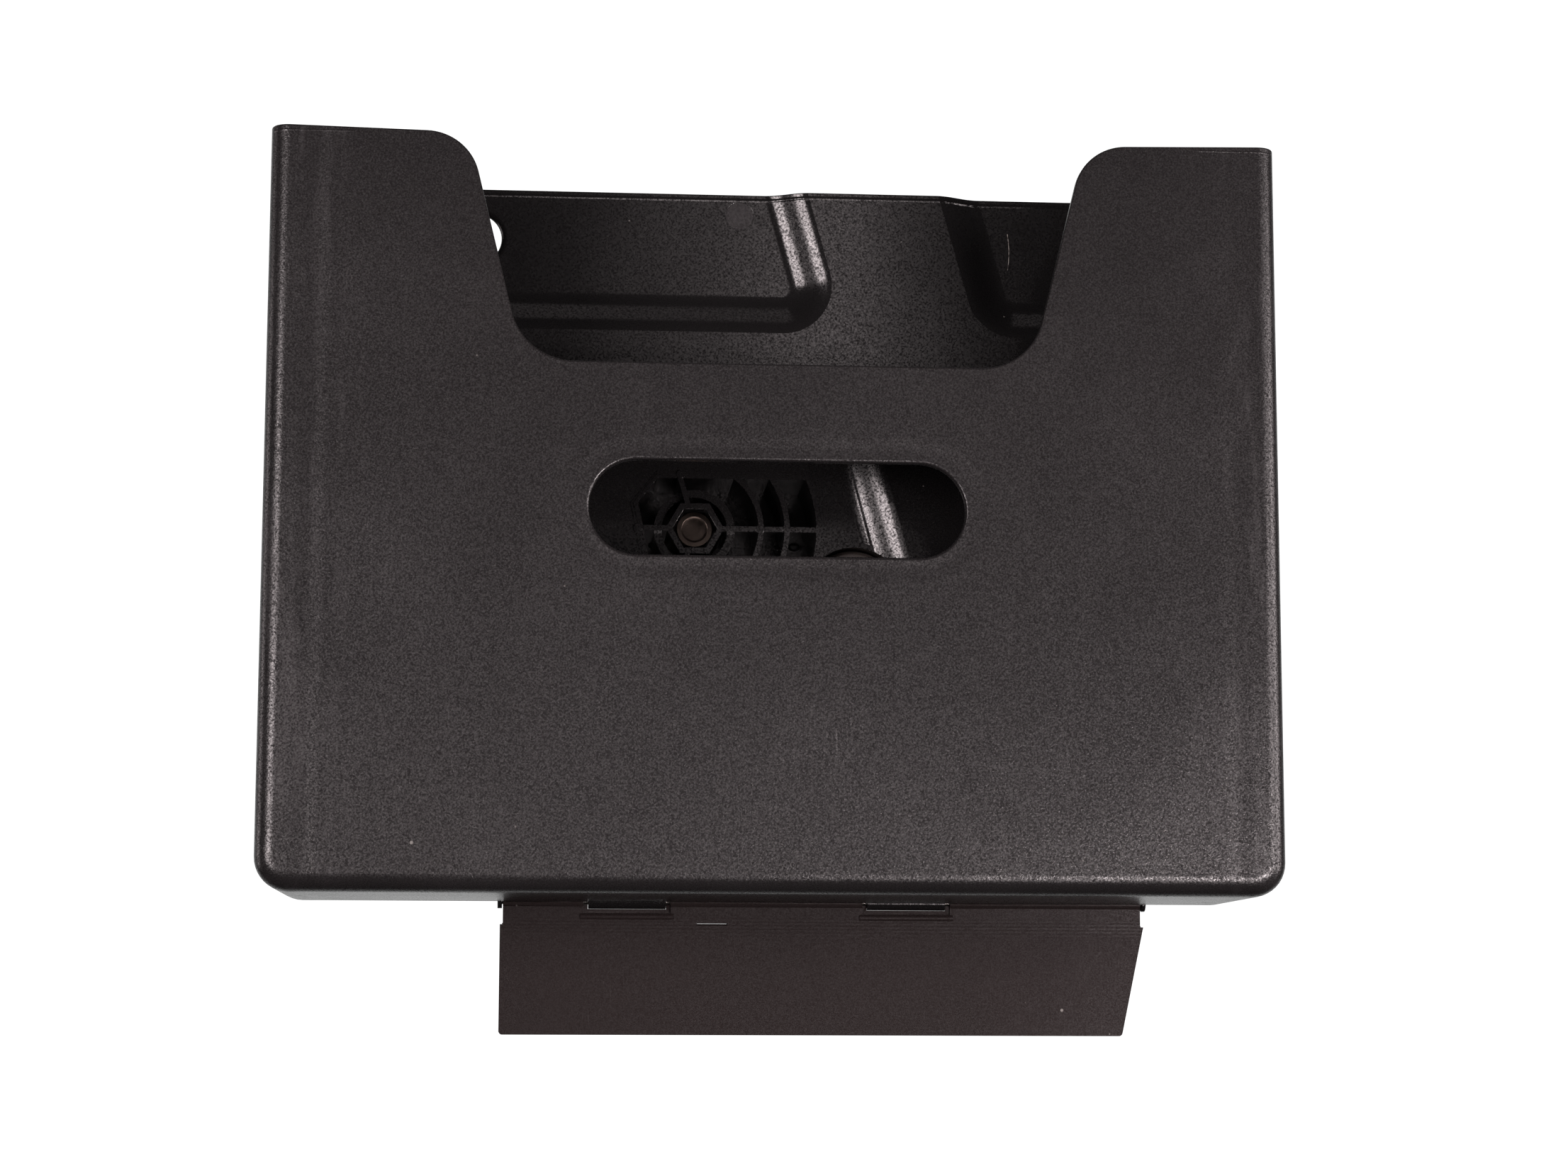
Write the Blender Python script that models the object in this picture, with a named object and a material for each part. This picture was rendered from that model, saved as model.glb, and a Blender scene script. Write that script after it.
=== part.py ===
"""Napkin dispenser: an open-topped moulded pocket with a U-shaped front cut-out and a finger slot, a ribbed
back plate, a hinged skirt under its rear edge, and a knob-tightened pole clamp behind it.

Drawing axes, in millimetres: X to the right as seen from the front, Y from the front face to the rear, Z up
from the underside of the shell, with X = 0 at the shell's middle. The finished part is in metres, and its
origin is the middle of the clamp's pole seat.
"""

import math

import bmesh
import bpy
from mathutils import Matrix, Vector

# ------------------------------------------------------------- driving dimensions, millimetres and degrees
MM = 0.001
GAP = 0.3                      # clearance between two pieces that touch
OVERRUN = 12.0                 # how far a cutter runs past the face that it cuts
NUDGE = 0.05                   # small step between helper solids, so that no two faces coincide

SHELL_WIDTH = 304.8            # 12 in
SHELL_HEIGHT = 228.6           # 9 in
SHELL_DEPTH = 66.5
WALL = 2.8
FRONT_FILLET = 6.0             # between the front face and the sides and bottom
BOTTOM_CORNER = 10.3           # lower corners, seen from the front
TOP_SLOPE = 0.0206             # the two lobes rise towards their outer corners
U_FLOOR = SHELL_HEIGHT - 70.6
U_HALF_TOP = 93.6              # half width where the slanted sides would meet the top line
U_SIDE_SLOPE = 0.2473
U_TOP_RADIUS = 16.3
U_FLOOR_RADIUS = 19.3
SLOT_LENGTH = 112.4
SLOT_HEIGHT = 28.4
SLOT_Z = 114.2
SLOT_LEAD = 1.0                # width and depth of the softened edge around the slot

PANEL_FRONT = 63.0             # front face of the four recessed panels
BAND_FRONT = 58.0              # front face of the raised cross between them
SHEET = 2.5                    # thickness of the back plate
STEP_RUN = 14.0                # width of the S-shaped step between the two levels
STEP_CORNER = 16.5             # corner radius of a panel at the level of the cross
STEP_LEAD = 0.25               # height of the small square edge where a step leaves the cross
PLATE_TOP = 226.4
PLATE_TOP_CORNER = 1.5
SLANT = 0.277                  # sideways run of the slanted band for each millimetre down
SLANT_X_AT_TOP = 34.6          # middle of the slanted band at the top edge
SLANT_HALF = 27.6              # half width, measured level, between the middles of its steps
BAND_Z = 169.0                 # middle of the level band
BAND_HALF = 17.5
HANG_HOLE = (-91.8, 210.6)     # x and height of its middle, in the upper left panel
HANG_RADIUS = 7.8
HANG_RIM = 1.2                 # width of the countersink around the hanging hole

BOLT_X, BOLT_Z = -21.7, 117.7
BLOCK_REAR = 96.5
BLOCK_WALL = 1.8
POCKET_FLOOR = 94.0
RIM_RISE = 0.6                 # ribs and rims stand this proud of the panel
RIB = 1.7
RIB_RADII = (21.0, 29.3)       # curved ribs about the bolt
BLOCK_RADIUS = 38.6            # right edge of the ribbed block, about the bolt
BLOCK_HALF = 16.0              # half height of the ribbed block
BLOCK_TOP_LEFT, BLOCK_BOTTOM_LEFT = -12.0, -13.6
BLOCK_LEFT = ((-18.0, 8.0), (-16.2, 0.0))   # corners of the block's left edge, from the bolt
UPRIGHT_LEAN = 0.29            # sideways run of the upright rib for each millimetre away from the bolt
HEX_POST = 16.0                # across flats
HEX_SOCKET = 12.2
RING_OUTER, RING_INNER, RING_DROP = 12.85, 10.4, 3.0
SOCKET_DEPTH = 6.4
PLUG_X, PLUG_Z = 28.8, 96.8
PLUG_RADIUS = 15.1
PLUG_RIM = 17.1
PLUG_FRONT = 67.4
PLUG_SEAT = 71.0               # the shoulder that the plug rests on
PLUG_SHOULDER = 3.0
PLUG_CHAMFER = 0.8
PLUG_BOSS_REAR = 74.0

SCREW_X = 143.6
SCREW_HEIGHTS = (26.0, 112.0, 200.0)
SCREW_RADIUS = 1.7
SCREW_BOSS = 5.0
BOSS_FRONT = 43.0
SCREW_HOLE_FRONT = 47.0
SCREW_TIP = 48.5
SCREW_TAPER = 2.5              # length of the screw's tapered tip
SCREW_TIP_RADIUS = 0.5
SCREW_HEAD = ((3.4, 0.0), (3.4, 1.0), (2.8, 1.9), (1.6, 2.4))   # radius and rise of the pan head
DRIVE_HALF = (1.7, 0.3)        # half length and half width of the cross recess
DRIVE_FLOOR = 1.1

HINGE_Y, HINGE_Z = 69.4, 0.4
BARREL = 2.6
PIN_RADIUS = 1.2
FLAP_LEFT, FLAP_RIGHT = -81.4, 121.2
FLAP_BOTTOM = -41.1
FLAP_SHOULDER = -7.0           # above this the flap is a little narrower
NECK_LEFT_STEP, NECK_RIGHT_STEP = 0.9, 1.0
FLAP_SLANT = 7.2               # how far the right edge leans in at the bottom
FLAP_FACE = 67.6
FLAP_SHEET = 2.2
FLAP_RIB_HEIGHT = 3.4
FLAP_CORNER = 1.2
TRUSS_BAYS = 5
TRUSS_RIB, RIM_RIB = 1.4, 1.6
TRUSS_LOW, TRUSS_HIGH = FLAP_BOTTOM + 1.4, FLAP_SHOULDER - 0.4
TRUSS_SIDE = 1.5               # from the skirt's side to the truss
SLIT = (-20.0, -7.0, -10.5, -6.5)
LIP_Z, LIP_RADIUS = -4.5, 1.05  # rounded lip under each notch
LIP_SET_BACK = 0.5
WEB_FRONT = 69.0               # the skirt stays this thin behind a knuckle
KNUCKLES = ((-54.0, -29.8), (33.5, 58.1))
NOTCH_SIDE = 1.5               # gap between a knuckle and the flap beside it
KNUCKLE_RADIUS = BARREL - 0.1
KNUCKLE_ARM = 0.6              # the arm starts this far behind the panel's face
KNUCKLE_TOP = 16.0
KNUCKLE_SHOULDER = 7.0
CHEEK = 1.4                    # thickness of the plate's cheeks at the two ends of the hinge
CHEEK_LAP = 0.8

POLE_X = 3.3                   # middle of the pole seat
SEAT_FLOOR_HALF = 5.0
SEAT_DEPTH = 6.0
PAD = 1.5
PAD_CORNER = 0.42              # keeps the liner's thickness around the 45 degree corner, tan(22.5)
SADDLE_FRONT, SADDLE_REAR = BLOCK_REAR + GAP, 106.8
SADDLE_LEFT, SADDLE_RIGHT = -44.0, 25.0
SADDLE_HALF = 19.0
CLAMP_CORNER = 8.0
JAW_FRONT, JAW_REAR = 112.0, 122.0
HEEL_HALF = 12.0               # the jaw's heel, which keeps it level on the saddle
HEEL_START, HEEL_END = 1.0, 8.0
HEEL_CORNER = 2.0
GUIDE_OFFSET = 13.0
GUIDE_RADIUS = 2.0
GUIDE_SEAT, GUIDE_END = 99.0, 129.6
GUIDE_CHAMFER = (0.6, 0.8)
BOLT_RADIUS = 3.1
BOLT_TIP = (0.7, 0.8)          # radius lost and length of the tip's chamfer
BOLT_PLAY = 0.1                # more clearance for the bolt than for other pieces
BOLT_HEAD_FLATS = 11.1
BOLT_HEAD_HEIGHT = 4.1
BOLT_LENGTH = 76.2             # 3 in under the head
WASHER_THICK = 1.6
WASHER_RADIUS = 9.0
KNOB_RADIUS = 22.0
KNOB_LOBES = 5
KNOB_DIP = 5.5
KNOB_LEVELS = ((0.86, 6.0), (0.97, 7.2), (1.0, 9.0), (1.0, 17.0), (0.97, 19.0), (0.86, 20.0))   # size, height
KNOB_HUB = ((9.0, 0.0), (9.6, 7.0))
INSERT_RADIUS = 5.0
INSERT_LENGTH = 16.0
PEG_RADIUS = 2.0
PEG_FRONT, PEG_HOLE_FRONT = 94.4, 90.0
PEG_PLACES = (BOLT_X - 11.6, BOLT_X + 34.0)
KNOB_FRONT = JAW_REAR + GAP + WASHER_THICK + GAP

ORIGIN = Vector((POLE_X, SADDLE_REAR - SEAT_DEPTH + GAP + PAD, BOLT_Z))
ROUND = 32                     # sides of a larger round piece
SMALL_ROUND = 16               # sides of a screw or pin


# ----------------------------------------------------------------------------------------------- materials
def material(name, colour, roughness, metallic=0.0):
    """A Principled material of one colour."""
    made = bpy.data.materials.new(name)
    made.use_nodes = True
    shader = made.node_tree.nodes["Principled BSDF"]
    shader.inputs["Base Color"].default_value = (*colour, 1.0)
    shader.inputs["Roughness"].default_value = roughness
    shader.inputs["Metallic"].default_value = metallic
    made.diffuse_color = (*colour, 1.0)
    return made


# ------------------------------------------------------------------------------------------------ outlines
def arc(centre, radius, start, end, steps):
    """Points along a circular arc, in degrees, both ends included."""
    angles = [math.radians(start + (end - start) * i / steps) for i in range(steps + 1)]
    return [(centre[0] + radius * math.cos(a), centre[1] + radius * math.sin(a)) for a in angles]


def circle(centre, radius, sides):
    """A closed circle of points."""
    return arc(centre, radius, 0.0, 360.0, sides)[:-1]


def hexagon(centre, flats):
    """A hexagon across flats with a corner to either side."""
    return circle(centre, flats / math.sqrt(3.0), 6)


def rounded(points, radii, steps):
    """A closed polygon with each corner turned into an arc of its own radius; 0 keeps the corner."""
    outline = []
    for i, corner in enumerate(points):
        here = Vector(corner)
        if radii[i] == 0:
            outline.append(tuple(here))
            continue
        before = (Vector(points[i - 1]) - here).normalized()
        after = (Vector(points[(i + 1) % len(points)]) - here).normalized()
        half = before.angle(after) / 2
        reach = radii[i] / math.tan(half)
        centre = here + (before + after).normalized() * (radii[i] / math.sin(half))
        start, end = here + before * reach - centre, here + after * reach - centre
        first = math.atan2(start.y, start.x)
        turn = (math.atan2(end.y, end.x) - first + math.pi) % (2 * math.pi) - math.pi
        for k in range(steps + 1):
            angle = first + turn * k / steps
            outline.append((centre.x + radii[i] * math.cos(angle), centre.y + radii[i] * math.sin(angle)))
    return outline


def box_outline(x0, z0, x1, z1, radius=0.0, steps=6):
    """A rectangle with equal corner radii."""
    corners = [(x0, z0), (x1, z0), (x1, z1), (x0, z1)]
    return rounded(corners, [radius] * 4, steps)


# -------------------------------------------------------------------------------------------------- solids
def loft(sections):
    """A closed solid through loops of equally many 3-D points, with flat ends and outward faces."""
    bm = bmesh.new()
    loops = [[bm.verts.new(p) for p in section] for section in sections]
    for lower, upper in zip(loops, loops[1:]):
        for i in range(len(lower)):
            j = (i + 1) % len(lower)
            bm.faces.new((lower[i], lower[j], upper[j], upper[i]))
    bm.faces.new(loops[0][::-1])
    bm.faces.new(loops[-1])
    bmesh.ops.recalc_face_normals(bm, faces=bm.faces)
    return bm


def prism(outline, y0, y1):
    """An outline in X and Z, drawn out along Y."""
    return loft([[(x, y, z) for x, z in outline] for y in (y0, y1)])


def prism_x(profile, x0, x1):
    """A profile in Y and Z, drawn out along X."""
    return loft([[(x, y, z) for y, z in profile] for x in (x0, x1)])


def prism_z(profile, z0, z1):
    """A profile in X and Y, drawn out along Z."""
    return loft([[(x, y, z) for x, y in profile] for z in (z0, z1)])


def turned(profile, centre, sides):
    """A solid of revolution about a line along Y: profile gives (radius, y) from end to end."""
    return loft([[(x, y, z) for x, z in circle(centre, r, sides)] for r, y in profile])


def make(name, bm, pivot=ORIGIN):
    """Turns a bmesh drawn in millimetres into an object in metres whose own origin is at pivot."""
    to_metres = Matrix.Scale(MM, 4) @ Matrix.Translation(-pivot)
    bmesh.ops.transform(bm, matrix=to_metres, verts=bm.verts)
    mesh = bpy.data.meshes.new(name)
    bm.to_mesh(mesh)
    bm.free()
    made = bpy.data.objects.new(name, mesh)
    made.location = (pivot - ORIGIN) * MM
    bpy.context.scene.collection.objects.link(made)
    return made


def combine(target, bm, operation, name):
    """Adds a Boolean of a hidden helper solid to target, and returns the helper."""
    helper = make(name, bm)
    helper.hide_render = True
    helper.display_type = "WIRE"
    step = target.modifiers.new(name, "BOOLEAN")
    step.operation = operation
    step.solver = "EXACT"
    step.object = helper
    return helper


def cut(target, bm, name):
    return combine(target, bm, "DIFFERENCE", name)


def join(target, bm, name):
    return combine(target, bm, "UNION", name)


def keep(target, bm, name):
    return combine(target, bm, "INTERSECT", name)


def finish(piece, finish_material):
    """Gives a piece its material, and smooth shading up to its sharp edges."""
    piece.data.materials.append(finish_material)
    piece.data.shade_smooth()
    piece.data.set_sharp_from_angle(angle=math.radians(32))
    return piece


# --------------------------------------------------------------------------------------------------- shell
def tub(inset, front, rear, fillet, steps=6):
    """The shell's outer or inner form: a box with a filleted front edge and rounded lower corners."""
    half = SHELL_WIDTH / 2 - inset
    corner = BOTTOM_CORNER - inset
    sections = []
    for i in range(steps + 1):
        angle = math.pi / 2 * i / steps
        shrink = fillet * (1 - math.sin(angle))
        y = front + fillet * (1 - math.cos(angle))
        sections.append((shrink, y))
    sections.append((0.0, rear))
    loops = []
    for shrink, y in sections:
        side = half - shrink
        low = inset + shrink
        top = SHELL_HEIGHT + OVERRUN
        radius = corner - shrink
        outline = rounded([(-side, low), (side, low), (side, top), (-side, top)], [radius, radius, 0, 0], 6)
        loops.append([(x, y, z) for x, z in outline])
    return loft(loops)


def u_cut_outline():
    """The front cut-out, with its convex top corners running out into the lobes' sloping tops."""
    top = SHELL_HEIGHT
    high = top + OVERRUN
    lobe_outer = SHELL_WIDTH / 2 + OVERRUN
    lobe_drop = TOP_SLOPE * (SHELL_WIDTH / 2 - U_HALF_TOP)
    floor_half = U_HALF_TOP - U_SIDE_SLOPE * (top - U_FLOOR)
    right = [
        (floor_half, U_FLOOR),
        (U_HALF_TOP - U_SIDE_SLOPE * lobe_drop, top - lobe_drop),
        (SHELL_WIDTH / 2, top),
        (lobe_outer, top + TOP_SLOPE * OVERRUN),
        (lobe_outer, high),
    ]
    left = [(-x, z) for x, z in reversed(right)]
    radii = [U_FLOOR_RADIUS, U_TOP_RADIUS, 0, 0, 0]
    return rounded(right + left, radii + radii[::-1], 8)


def slot_outline(grow=0.0):
    """The finger slot: a stadium lying on its side."""
    radius = SLOT_HEIGHT / 2 + grow
    reach = (SLOT_LENGTH - SLOT_HEIGHT) / 2
    right = arc((reach, SLOT_Z), radius, -90.0, 90.0, 12)
    left = arc((-reach, SLOT_Z), radius, 90.0, 270.0, 12)
    return right + left


def screw_places():
    """The six screws' places, lower left first."""
    return [(side * SCREW_X, z) for side in (-1, 1) for z in SCREW_HEIGHTS]


def slot_lead():
    """The cutter that softens the slot's front edge: it narrows from the face inwards."""
    levels = [
        (SLOT_LEAD, -SLOT_LEAD),
        (SLOT_LEAD, 0.0),
        (0.3 * SLOT_LEAD, 0.7 * SLOT_LEAD),
        (-2.0 * SLOT_LEAD, SLOT_LEAD),
    ]
    return loft([[(x, y, z) for x, z in slot_outline(grow)] for grow, y in levels])


def front_shell(plastic):
    """The pocket's front, sides and bottom, with the screw bosses in its side walls."""
    shell = make("front_shell", tub(0.0, 0.0, SHELL_DEPTH, FRONT_FILLET))
    cut(shell, tub(WALL, WALL, SHELL_DEPTH + OVERRUN, FRONT_FILLET - WALL), "shell_inside")
    boss_rear = PANEL_FRONT - GAP
    for i, (x, z) in enumerate(screw_places()):
        outer = math.copysign(SHELL_WIDTH / 2 - WALL / 2, x)
        web = box_outline(min(x, outer), z - SCREW_BOSS, max(x, outer), z + SCREW_BOSS)
        join(shell, prism(web, BOSS_FRONT + 1.0, boss_rear), f"boss_web_{i + 1}")
        join(shell, prism(circle((x, z), SCREW_BOSS, ROUND), BOSS_FRONT, boss_rear), f"boss_post_{i + 1}")
        hole = circle((x, z), SCREW_RADIUS + GAP, SMALL_ROUND)
        cut(shell, prism(hole, SCREW_HOLE_FRONT, PANEL_FRONT + OVERRUN), f"boss_hole_{i + 1}")
    cut(shell, prism(u_cut_outline(), -OVERRUN, SHELL_DEPTH + OVERRUN), "u_cut")
    cut(shell, prism(slot_outline(), -OVERRUN, 4 * WALL), "finger_slot")
    cut(shell, slot_lead(), "slot_lead")
    return finish(shell, plastic)


# ---------------------------------------------------------------------------------------------- back plate
def panel_corner(side, level, inset):
    """One recessed panel's outline: side is -1 or 1 for left or right, level -1 or 1 for below or above."""
    lean = Vector((1.0, SLANT)).normalized()
    reach = SHELL_WIDTH
    radius = STEP_CORNER - inset
    edge_z = BAND_Z + level * (BAND_HALF - STEP_RUN / 2)
    half = (SLANT_HALF - STEP_RUN / (2 * lean.x)) * side

    def slanted(z, offset):
        middle = SLANT_X_AT_TOP + SLANT * (PLATE_TOP - z)
        return middle + half + side * offset / lean.x

    centre_z = edge_z + level * STEP_CORNER
    centre = (slanted(centre_z, STEP_CORNER), centre_z)
    tilt = math.degrees(math.atan(SLANT))
    level_side = -90.0 * level
    slant_side = tilt if side < 0 else 180.0 + tilt
    turn = (slant_side - level_side + 180.0) % 360.0 - 180.0
    curve = arc(centre, radius, level_side, level_side + turn, 8)
    far_z = BAND_Z + level * reach
    far_x = slanted(far_z, inset)
    outer = centre[0] + side * 2 * reach
    return [(outer, edge_z + level * inset)] + curve + [(far_x, far_z), (outer, far_z)]


def panel(side, level, shift, steps=10):
    """A recessed panel as a solid: its outline shrinks along an S-shaped step from the cross to the panel."""
    rise = PANEL_FRONT - BAND_FRONT
    sections = [(0.0, BAND_FRONT - STEP_LEAD + shift)]
    for i in range(1, steps + 1):
        t = i / steps
        sections.append((STEP_RUN * t, BAND_FRONT + rise * (1 - math.cos(math.pi * t)) / 2 + shift))
    return loft([[(x, y, z) for x, z in panel_corner(side, level, inset)] for inset, y in sections])


def plate_outline():
    """The back plate's edge, which clears the inside of the shell."""
    half = SHELL_WIDTH / 2 - WALL - GAP
    low = WALL + GAP
    corner = BOTTOM_CORNER - WALL - GAP
    corners = [(-half, low), (half, low), (half, PLATE_TOP), (-half, PLATE_TOP)]
    return rounded(corners, [corner, corner, PLATE_TOP_CORNER, PLATE_TOP_CORNER], 6)


def block_outline(grow=0.0):
    """The ribbed block about the bolt: straight on the left, and on the right an arc about the bolt."""
    radius = BLOCK_RADIUS + grow
    half = BLOCK_HALF + grow
    angle = math.degrees(math.asin(half / radius))
    right = arc((BOLT_X, BOLT_Z), radius, -angle, angle, 10)
    left = [(BLOCK_TOP_LEFT, half)]
    left += [(x - grow, z) for x, z in BLOCK_LEFT]
    left.append((BLOCK_BOTTOM_LEFT - grow, -half))
    return right + [(BOLT_X + x, BOLT_Z + z) for x, z in left]


def ring(inner, outer, y0, y1):
    """A tube about the bolt's axis."""
    profile = [(inner, y0), (outer, y0), (outer, y1), (inner, y1)]
    bm = bmesh.new()
    loops = []
    for r, y in profile:
        loops.append([bm.verts.new((x, y, z)) for x, z in circle((BOLT_X, BOLT_Z), r, 2 * ROUND)])
    for k, loop in enumerate(loops):
        following = loops[(k + 1) % len(loops)]
        for i in range(len(loop)):
            j = (i + 1) % len(loop)
            bm.faces.new((loop[i], loop[j], following[j], following[i]))
    bmesh.ops.recalc_face_normals(bm, faces=bm.faces)
    return bm


def pocket_core():
    """The space cored out of the ribbed block from the front: the block's outline less its ribs and posts."""
    rim = PANEL_FRONT - RIM_RISE
    core = make("pocket_core", prism(block_outline(), rim - OVERRUN, POCKET_FLOOR))
    reach = BLOCK_RADIUS + OVERRUN
    low, high = rim - 2 * OVERRUN, POCKET_FLOOR + OVERRUN
    level_rib = box_outline(BOLT_X - reach, BOLT_Z - RIB / 2, BOLT_X + reach, BOLT_Z + RIB / 2)
    cut(core, prism(level_rib, low, high), "level_rib")
    run = UPRIGHT_LEAN * reach
    upright = [(-RIB / 2, 0.0), (RIB / 2, 0.0), (RIB / 2 - run, reach), (-RIB / 2 - run, reach)]
    for side, name in ((1, "upper_rib"), (-1, "lower_rib")):
        outline = [(BOLT_X + x, BOLT_Z + side * z) for x, z in upright]
        cut(core, prism(outline, low, high), name)
    for radius in RIB_RADII:
        sector = ring(radius - RIB / 2, radius + RIB / 2, low, high)
        cut(core, sector, f"curved_rib_{radius:.0f}")
    cut(core, ring(RING_INNER, RING_OUTER, PANEL_FRONT + RING_DROP, high), "ring_wall")
    cut(core, prism(hexagon((BOLT_X, BOLT_Z), HEX_POST), low, high), "hex_post")
    core.hide_render = True
    core.display_type = "WIRE"
    return core


def bolt_hole_outline():
    return circle((BOLT_X, BOLT_Z), BOLT_RADIUS + GAP + BOLT_PLAY, SMALL_ROUND)


def knuckle_profile():
    """A knuckle of the plate in Y and Z: an arm behind the shell's lower edge, ending round the hinge pin."""
    lowest = arc((HINGE_Y, HINGE_Z), KNUCKLE_RADIUS, 0.0, -180.0, 10)
    clear = SHELL_DEPTH + GAP + 2 * NUDGE
    arm_front = PANEL_FRONT + KNUCKLE_ARM
    arm_rear = PANEL_FRONT + SHEET + 0.8
    inner = [(clear, WALL + GAP), (arm_front, WALL + GAP), (arm_front, KNUCKLE_TOP)]
    return [(HINGE_Y + KNUCKLE_RADIUS, KNUCKLE_SHOULDER)] + lowest + inner + [(arm_rear, KNUCKLE_TOP)]


def plug_seat():
    """The stepped round hole that takes the blanking plug."""
    wide, narrow = PLUG_RADIUS + GAP, PLUG_RADIUS - PLUG_SHOULDER
    profile = [(wide, BAND_FRONT - OVERRUN), (wide, PLUG_SEAT)]
    profile += [(narrow, PLUG_SEAT + NUDGE), (narrow, PLUG_BOSS_REAR + OVERRUN)]
    return turned(profile, (PLUG_X, PLUG_Z), ROUND)


def hang_hole():
    """The hanging hole with its countersink."""
    wide = HANG_RADIUS + HANG_RIM
    profile = [(wide, BAND_FRONT), (wide, PANEL_FRONT)]
    profile += [(HANG_RADIUS, PANEL_FRONT + 1.0), (HANG_RADIUS, PANEL_FRONT + OVERRUN)]
    return turned(profile, HANG_HOLE, ROUND)


def back_plate(plastic):
    """The plate with its raised cross, ribbed block, plug boss, hinge knuckles and all its holes."""
    rim = PANEL_FRONT - RIM_RISE
    slab = box_outline(-SHELL_WIDTH, -OVERRUN, SHELL_WIDTH, SHELL_HEIGHT + OVERRUN)
    plate = make("back_plate", prism(slab, BAND_FRONT, BAND_FRONT + SHEET))
    quarters = [(side, level) for side in (-1, 1) for level in (-1, 1)]
    for side, level in quarters:
        join(plate, panel(side, level, SHEET), f"panel_rear_{side}_{level}")
    keep(plate, prism(plate_outline(), 0.0, 2 * SHELL_DEPTH), "plate_edge")
    for side, level in quarters:
        cut(plate, panel(side, level, 0.0), f"panel_front_{side}_{level}")
    join(plate, prism(block_outline(BLOCK_WALL), rim, BLOCK_REAR), "ribbed_block")
    plug_boss = [(PLUG_RIM, rim), (PLUG_RIM, PLUG_BOSS_REAR)]
    join(plate, turned(plug_boss, (PLUG_X, PLUG_Z), ROUND), "plug_boss")
    for i, (x0, x1) in enumerate(KNUCKLES):
        join(plate, prism_x(knuckle_profile(), x0, x1), f"knuckle_{i + 1}")
    for name, x0 in (("cheek_left", FLAP_LEFT - CHEEK_LAP), ("cheek_right", FLAP_RIGHT + CHEEK_LAP - CHEEK)):
        join(plate, prism_x(knuckle_profile(), x0, x0 + CHEEK), name)
    step = plate.modifiers.new("pockets", "BOOLEAN")
    step.operation = "DIFFERENCE"
    step.solver = "EXACT"
    step.object = pocket_core()
    socket = hexagon((BOLT_X, BOLT_Z), HEX_SOCKET)
    cut(plate, prism(socket, rim - OVERRUN, PANEL_FRONT + SOCKET_DEPTH), "hex_socket")
    cut(plate, prism(bolt_hole_outline(), PANEL_FRONT, BLOCK_REAR + OVERRUN), "bolt_hole")
    for i, x in enumerate(PEG_PLACES):
        hole = circle((x, BOLT_Z), PEG_RADIUS + GAP, SMALL_ROUND)
        cut(plate, prism(hole, PEG_HOLE_FRONT, BLOCK_REAR + OVERRUN), f"peg_hole_{i + 1}")
    cut(plate, plug_seat(), "plug_seat")
    cut(plate, hang_hole(), "hang_hole")
    for i, (x, z) in enumerate(screw_places()):
        hole = circle((x, z), SCREW_RADIUS + 2 * GAP, SMALL_ROUND)
        cut(plate, prism(hole, BAND_FRONT - OVERRUN, PANEL_FRONT + OVERRUN), f"screw_hole_{i + 1}")
    pin_hole = circle((HINGE_Y, HINGE_Z), PIN_RADIUS + GAP, SMALL_ROUND)
    cut(plate, prism_x(pin_hole, FLAP_LEFT - OVERRUN, FLAP_RIGHT + OVERRUN), "pin_hole")
    return finish(plate, plastic)


def blanking_plug(plastic):
    """A round plug whose stem goes through the plate."""
    head = [(PLUG_RADIUS - PLUG_CHAMFER, PLUG_FRONT), (PLUG_RADIUS, PLUG_FRONT + PLUG_CHAMFER)]
    head.append((PLUG_RADIUS, PLUG_SEAT - GAP))
    plug = make("blanking_plug", turned(head, (PLUG_X, PLUG_Z), ROUND))
    stem_radius = PLUG_RADIUS - PLUG_SHOULDER - GAP
    stem = [(stem_radius, PLUG_SEAT - 1.0), (stem_radius, PLUG_BOSS_REAR + 2 * GAP)]
    join(plug, turned(stem, (PLUG_X, PLUG_Z), ROUND), "plug_stem")
    return finish(plug, plastic)


def shell_screw(index, place, steel):
    """A pan-head self-tapping screw, driven from the rear through the plate into the shell's boss."""
    head_y = PANEL_FRONT + SHEET + GAP
    x, z = place
    pivot = Vector((x, head_y, z))
    profile = [(SCREW_TIP_RADIUS, SCREW_TIP), (SCREW_RADIUS, SCREW_TIP + SCREW_TAPER), (SCREW_RADIUS, head_y)]
    profile += [(radius, head_y + rise) for radius, rise in SCREW_HEAD]
    screw = make(f"shell_screw_{index}", turned(profile, place, SMALL_ROUND), pivot)
    long, short = DRIVE_HALF
    for k, (across, up) in enumerate(((long, short), (short, long))):
        blade = box_outline(x - across, z - up, x + across, z + up)
        cut(screw, prism(blade, head_y + DRIVE_FLOOR + k * NUDGE, head_y + OVERRUN), f"drive_{index}_{k + 1}")
    return finish(screw, steel)


# -------------------------------------------------------------------------------------------- hinged skirt
def hinge_pin(steel):
    """The steel pin through the barrel, the knuckles and the cheeks."""
    pivot = Vector((0.0, HINGE_Y, HINGE_Z))
    outline = circle((HINGE_Y, HINGE_Z), PIN_RADIUS, SMALL_ROUND)
    pin = make("hinge_pin", prism_x(outline, FLAP_LEFT - CHEEK_LAP, FLAP_RIGHT + CHEEK_LAP), pivot)
    return finish(pin, steel)


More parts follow.
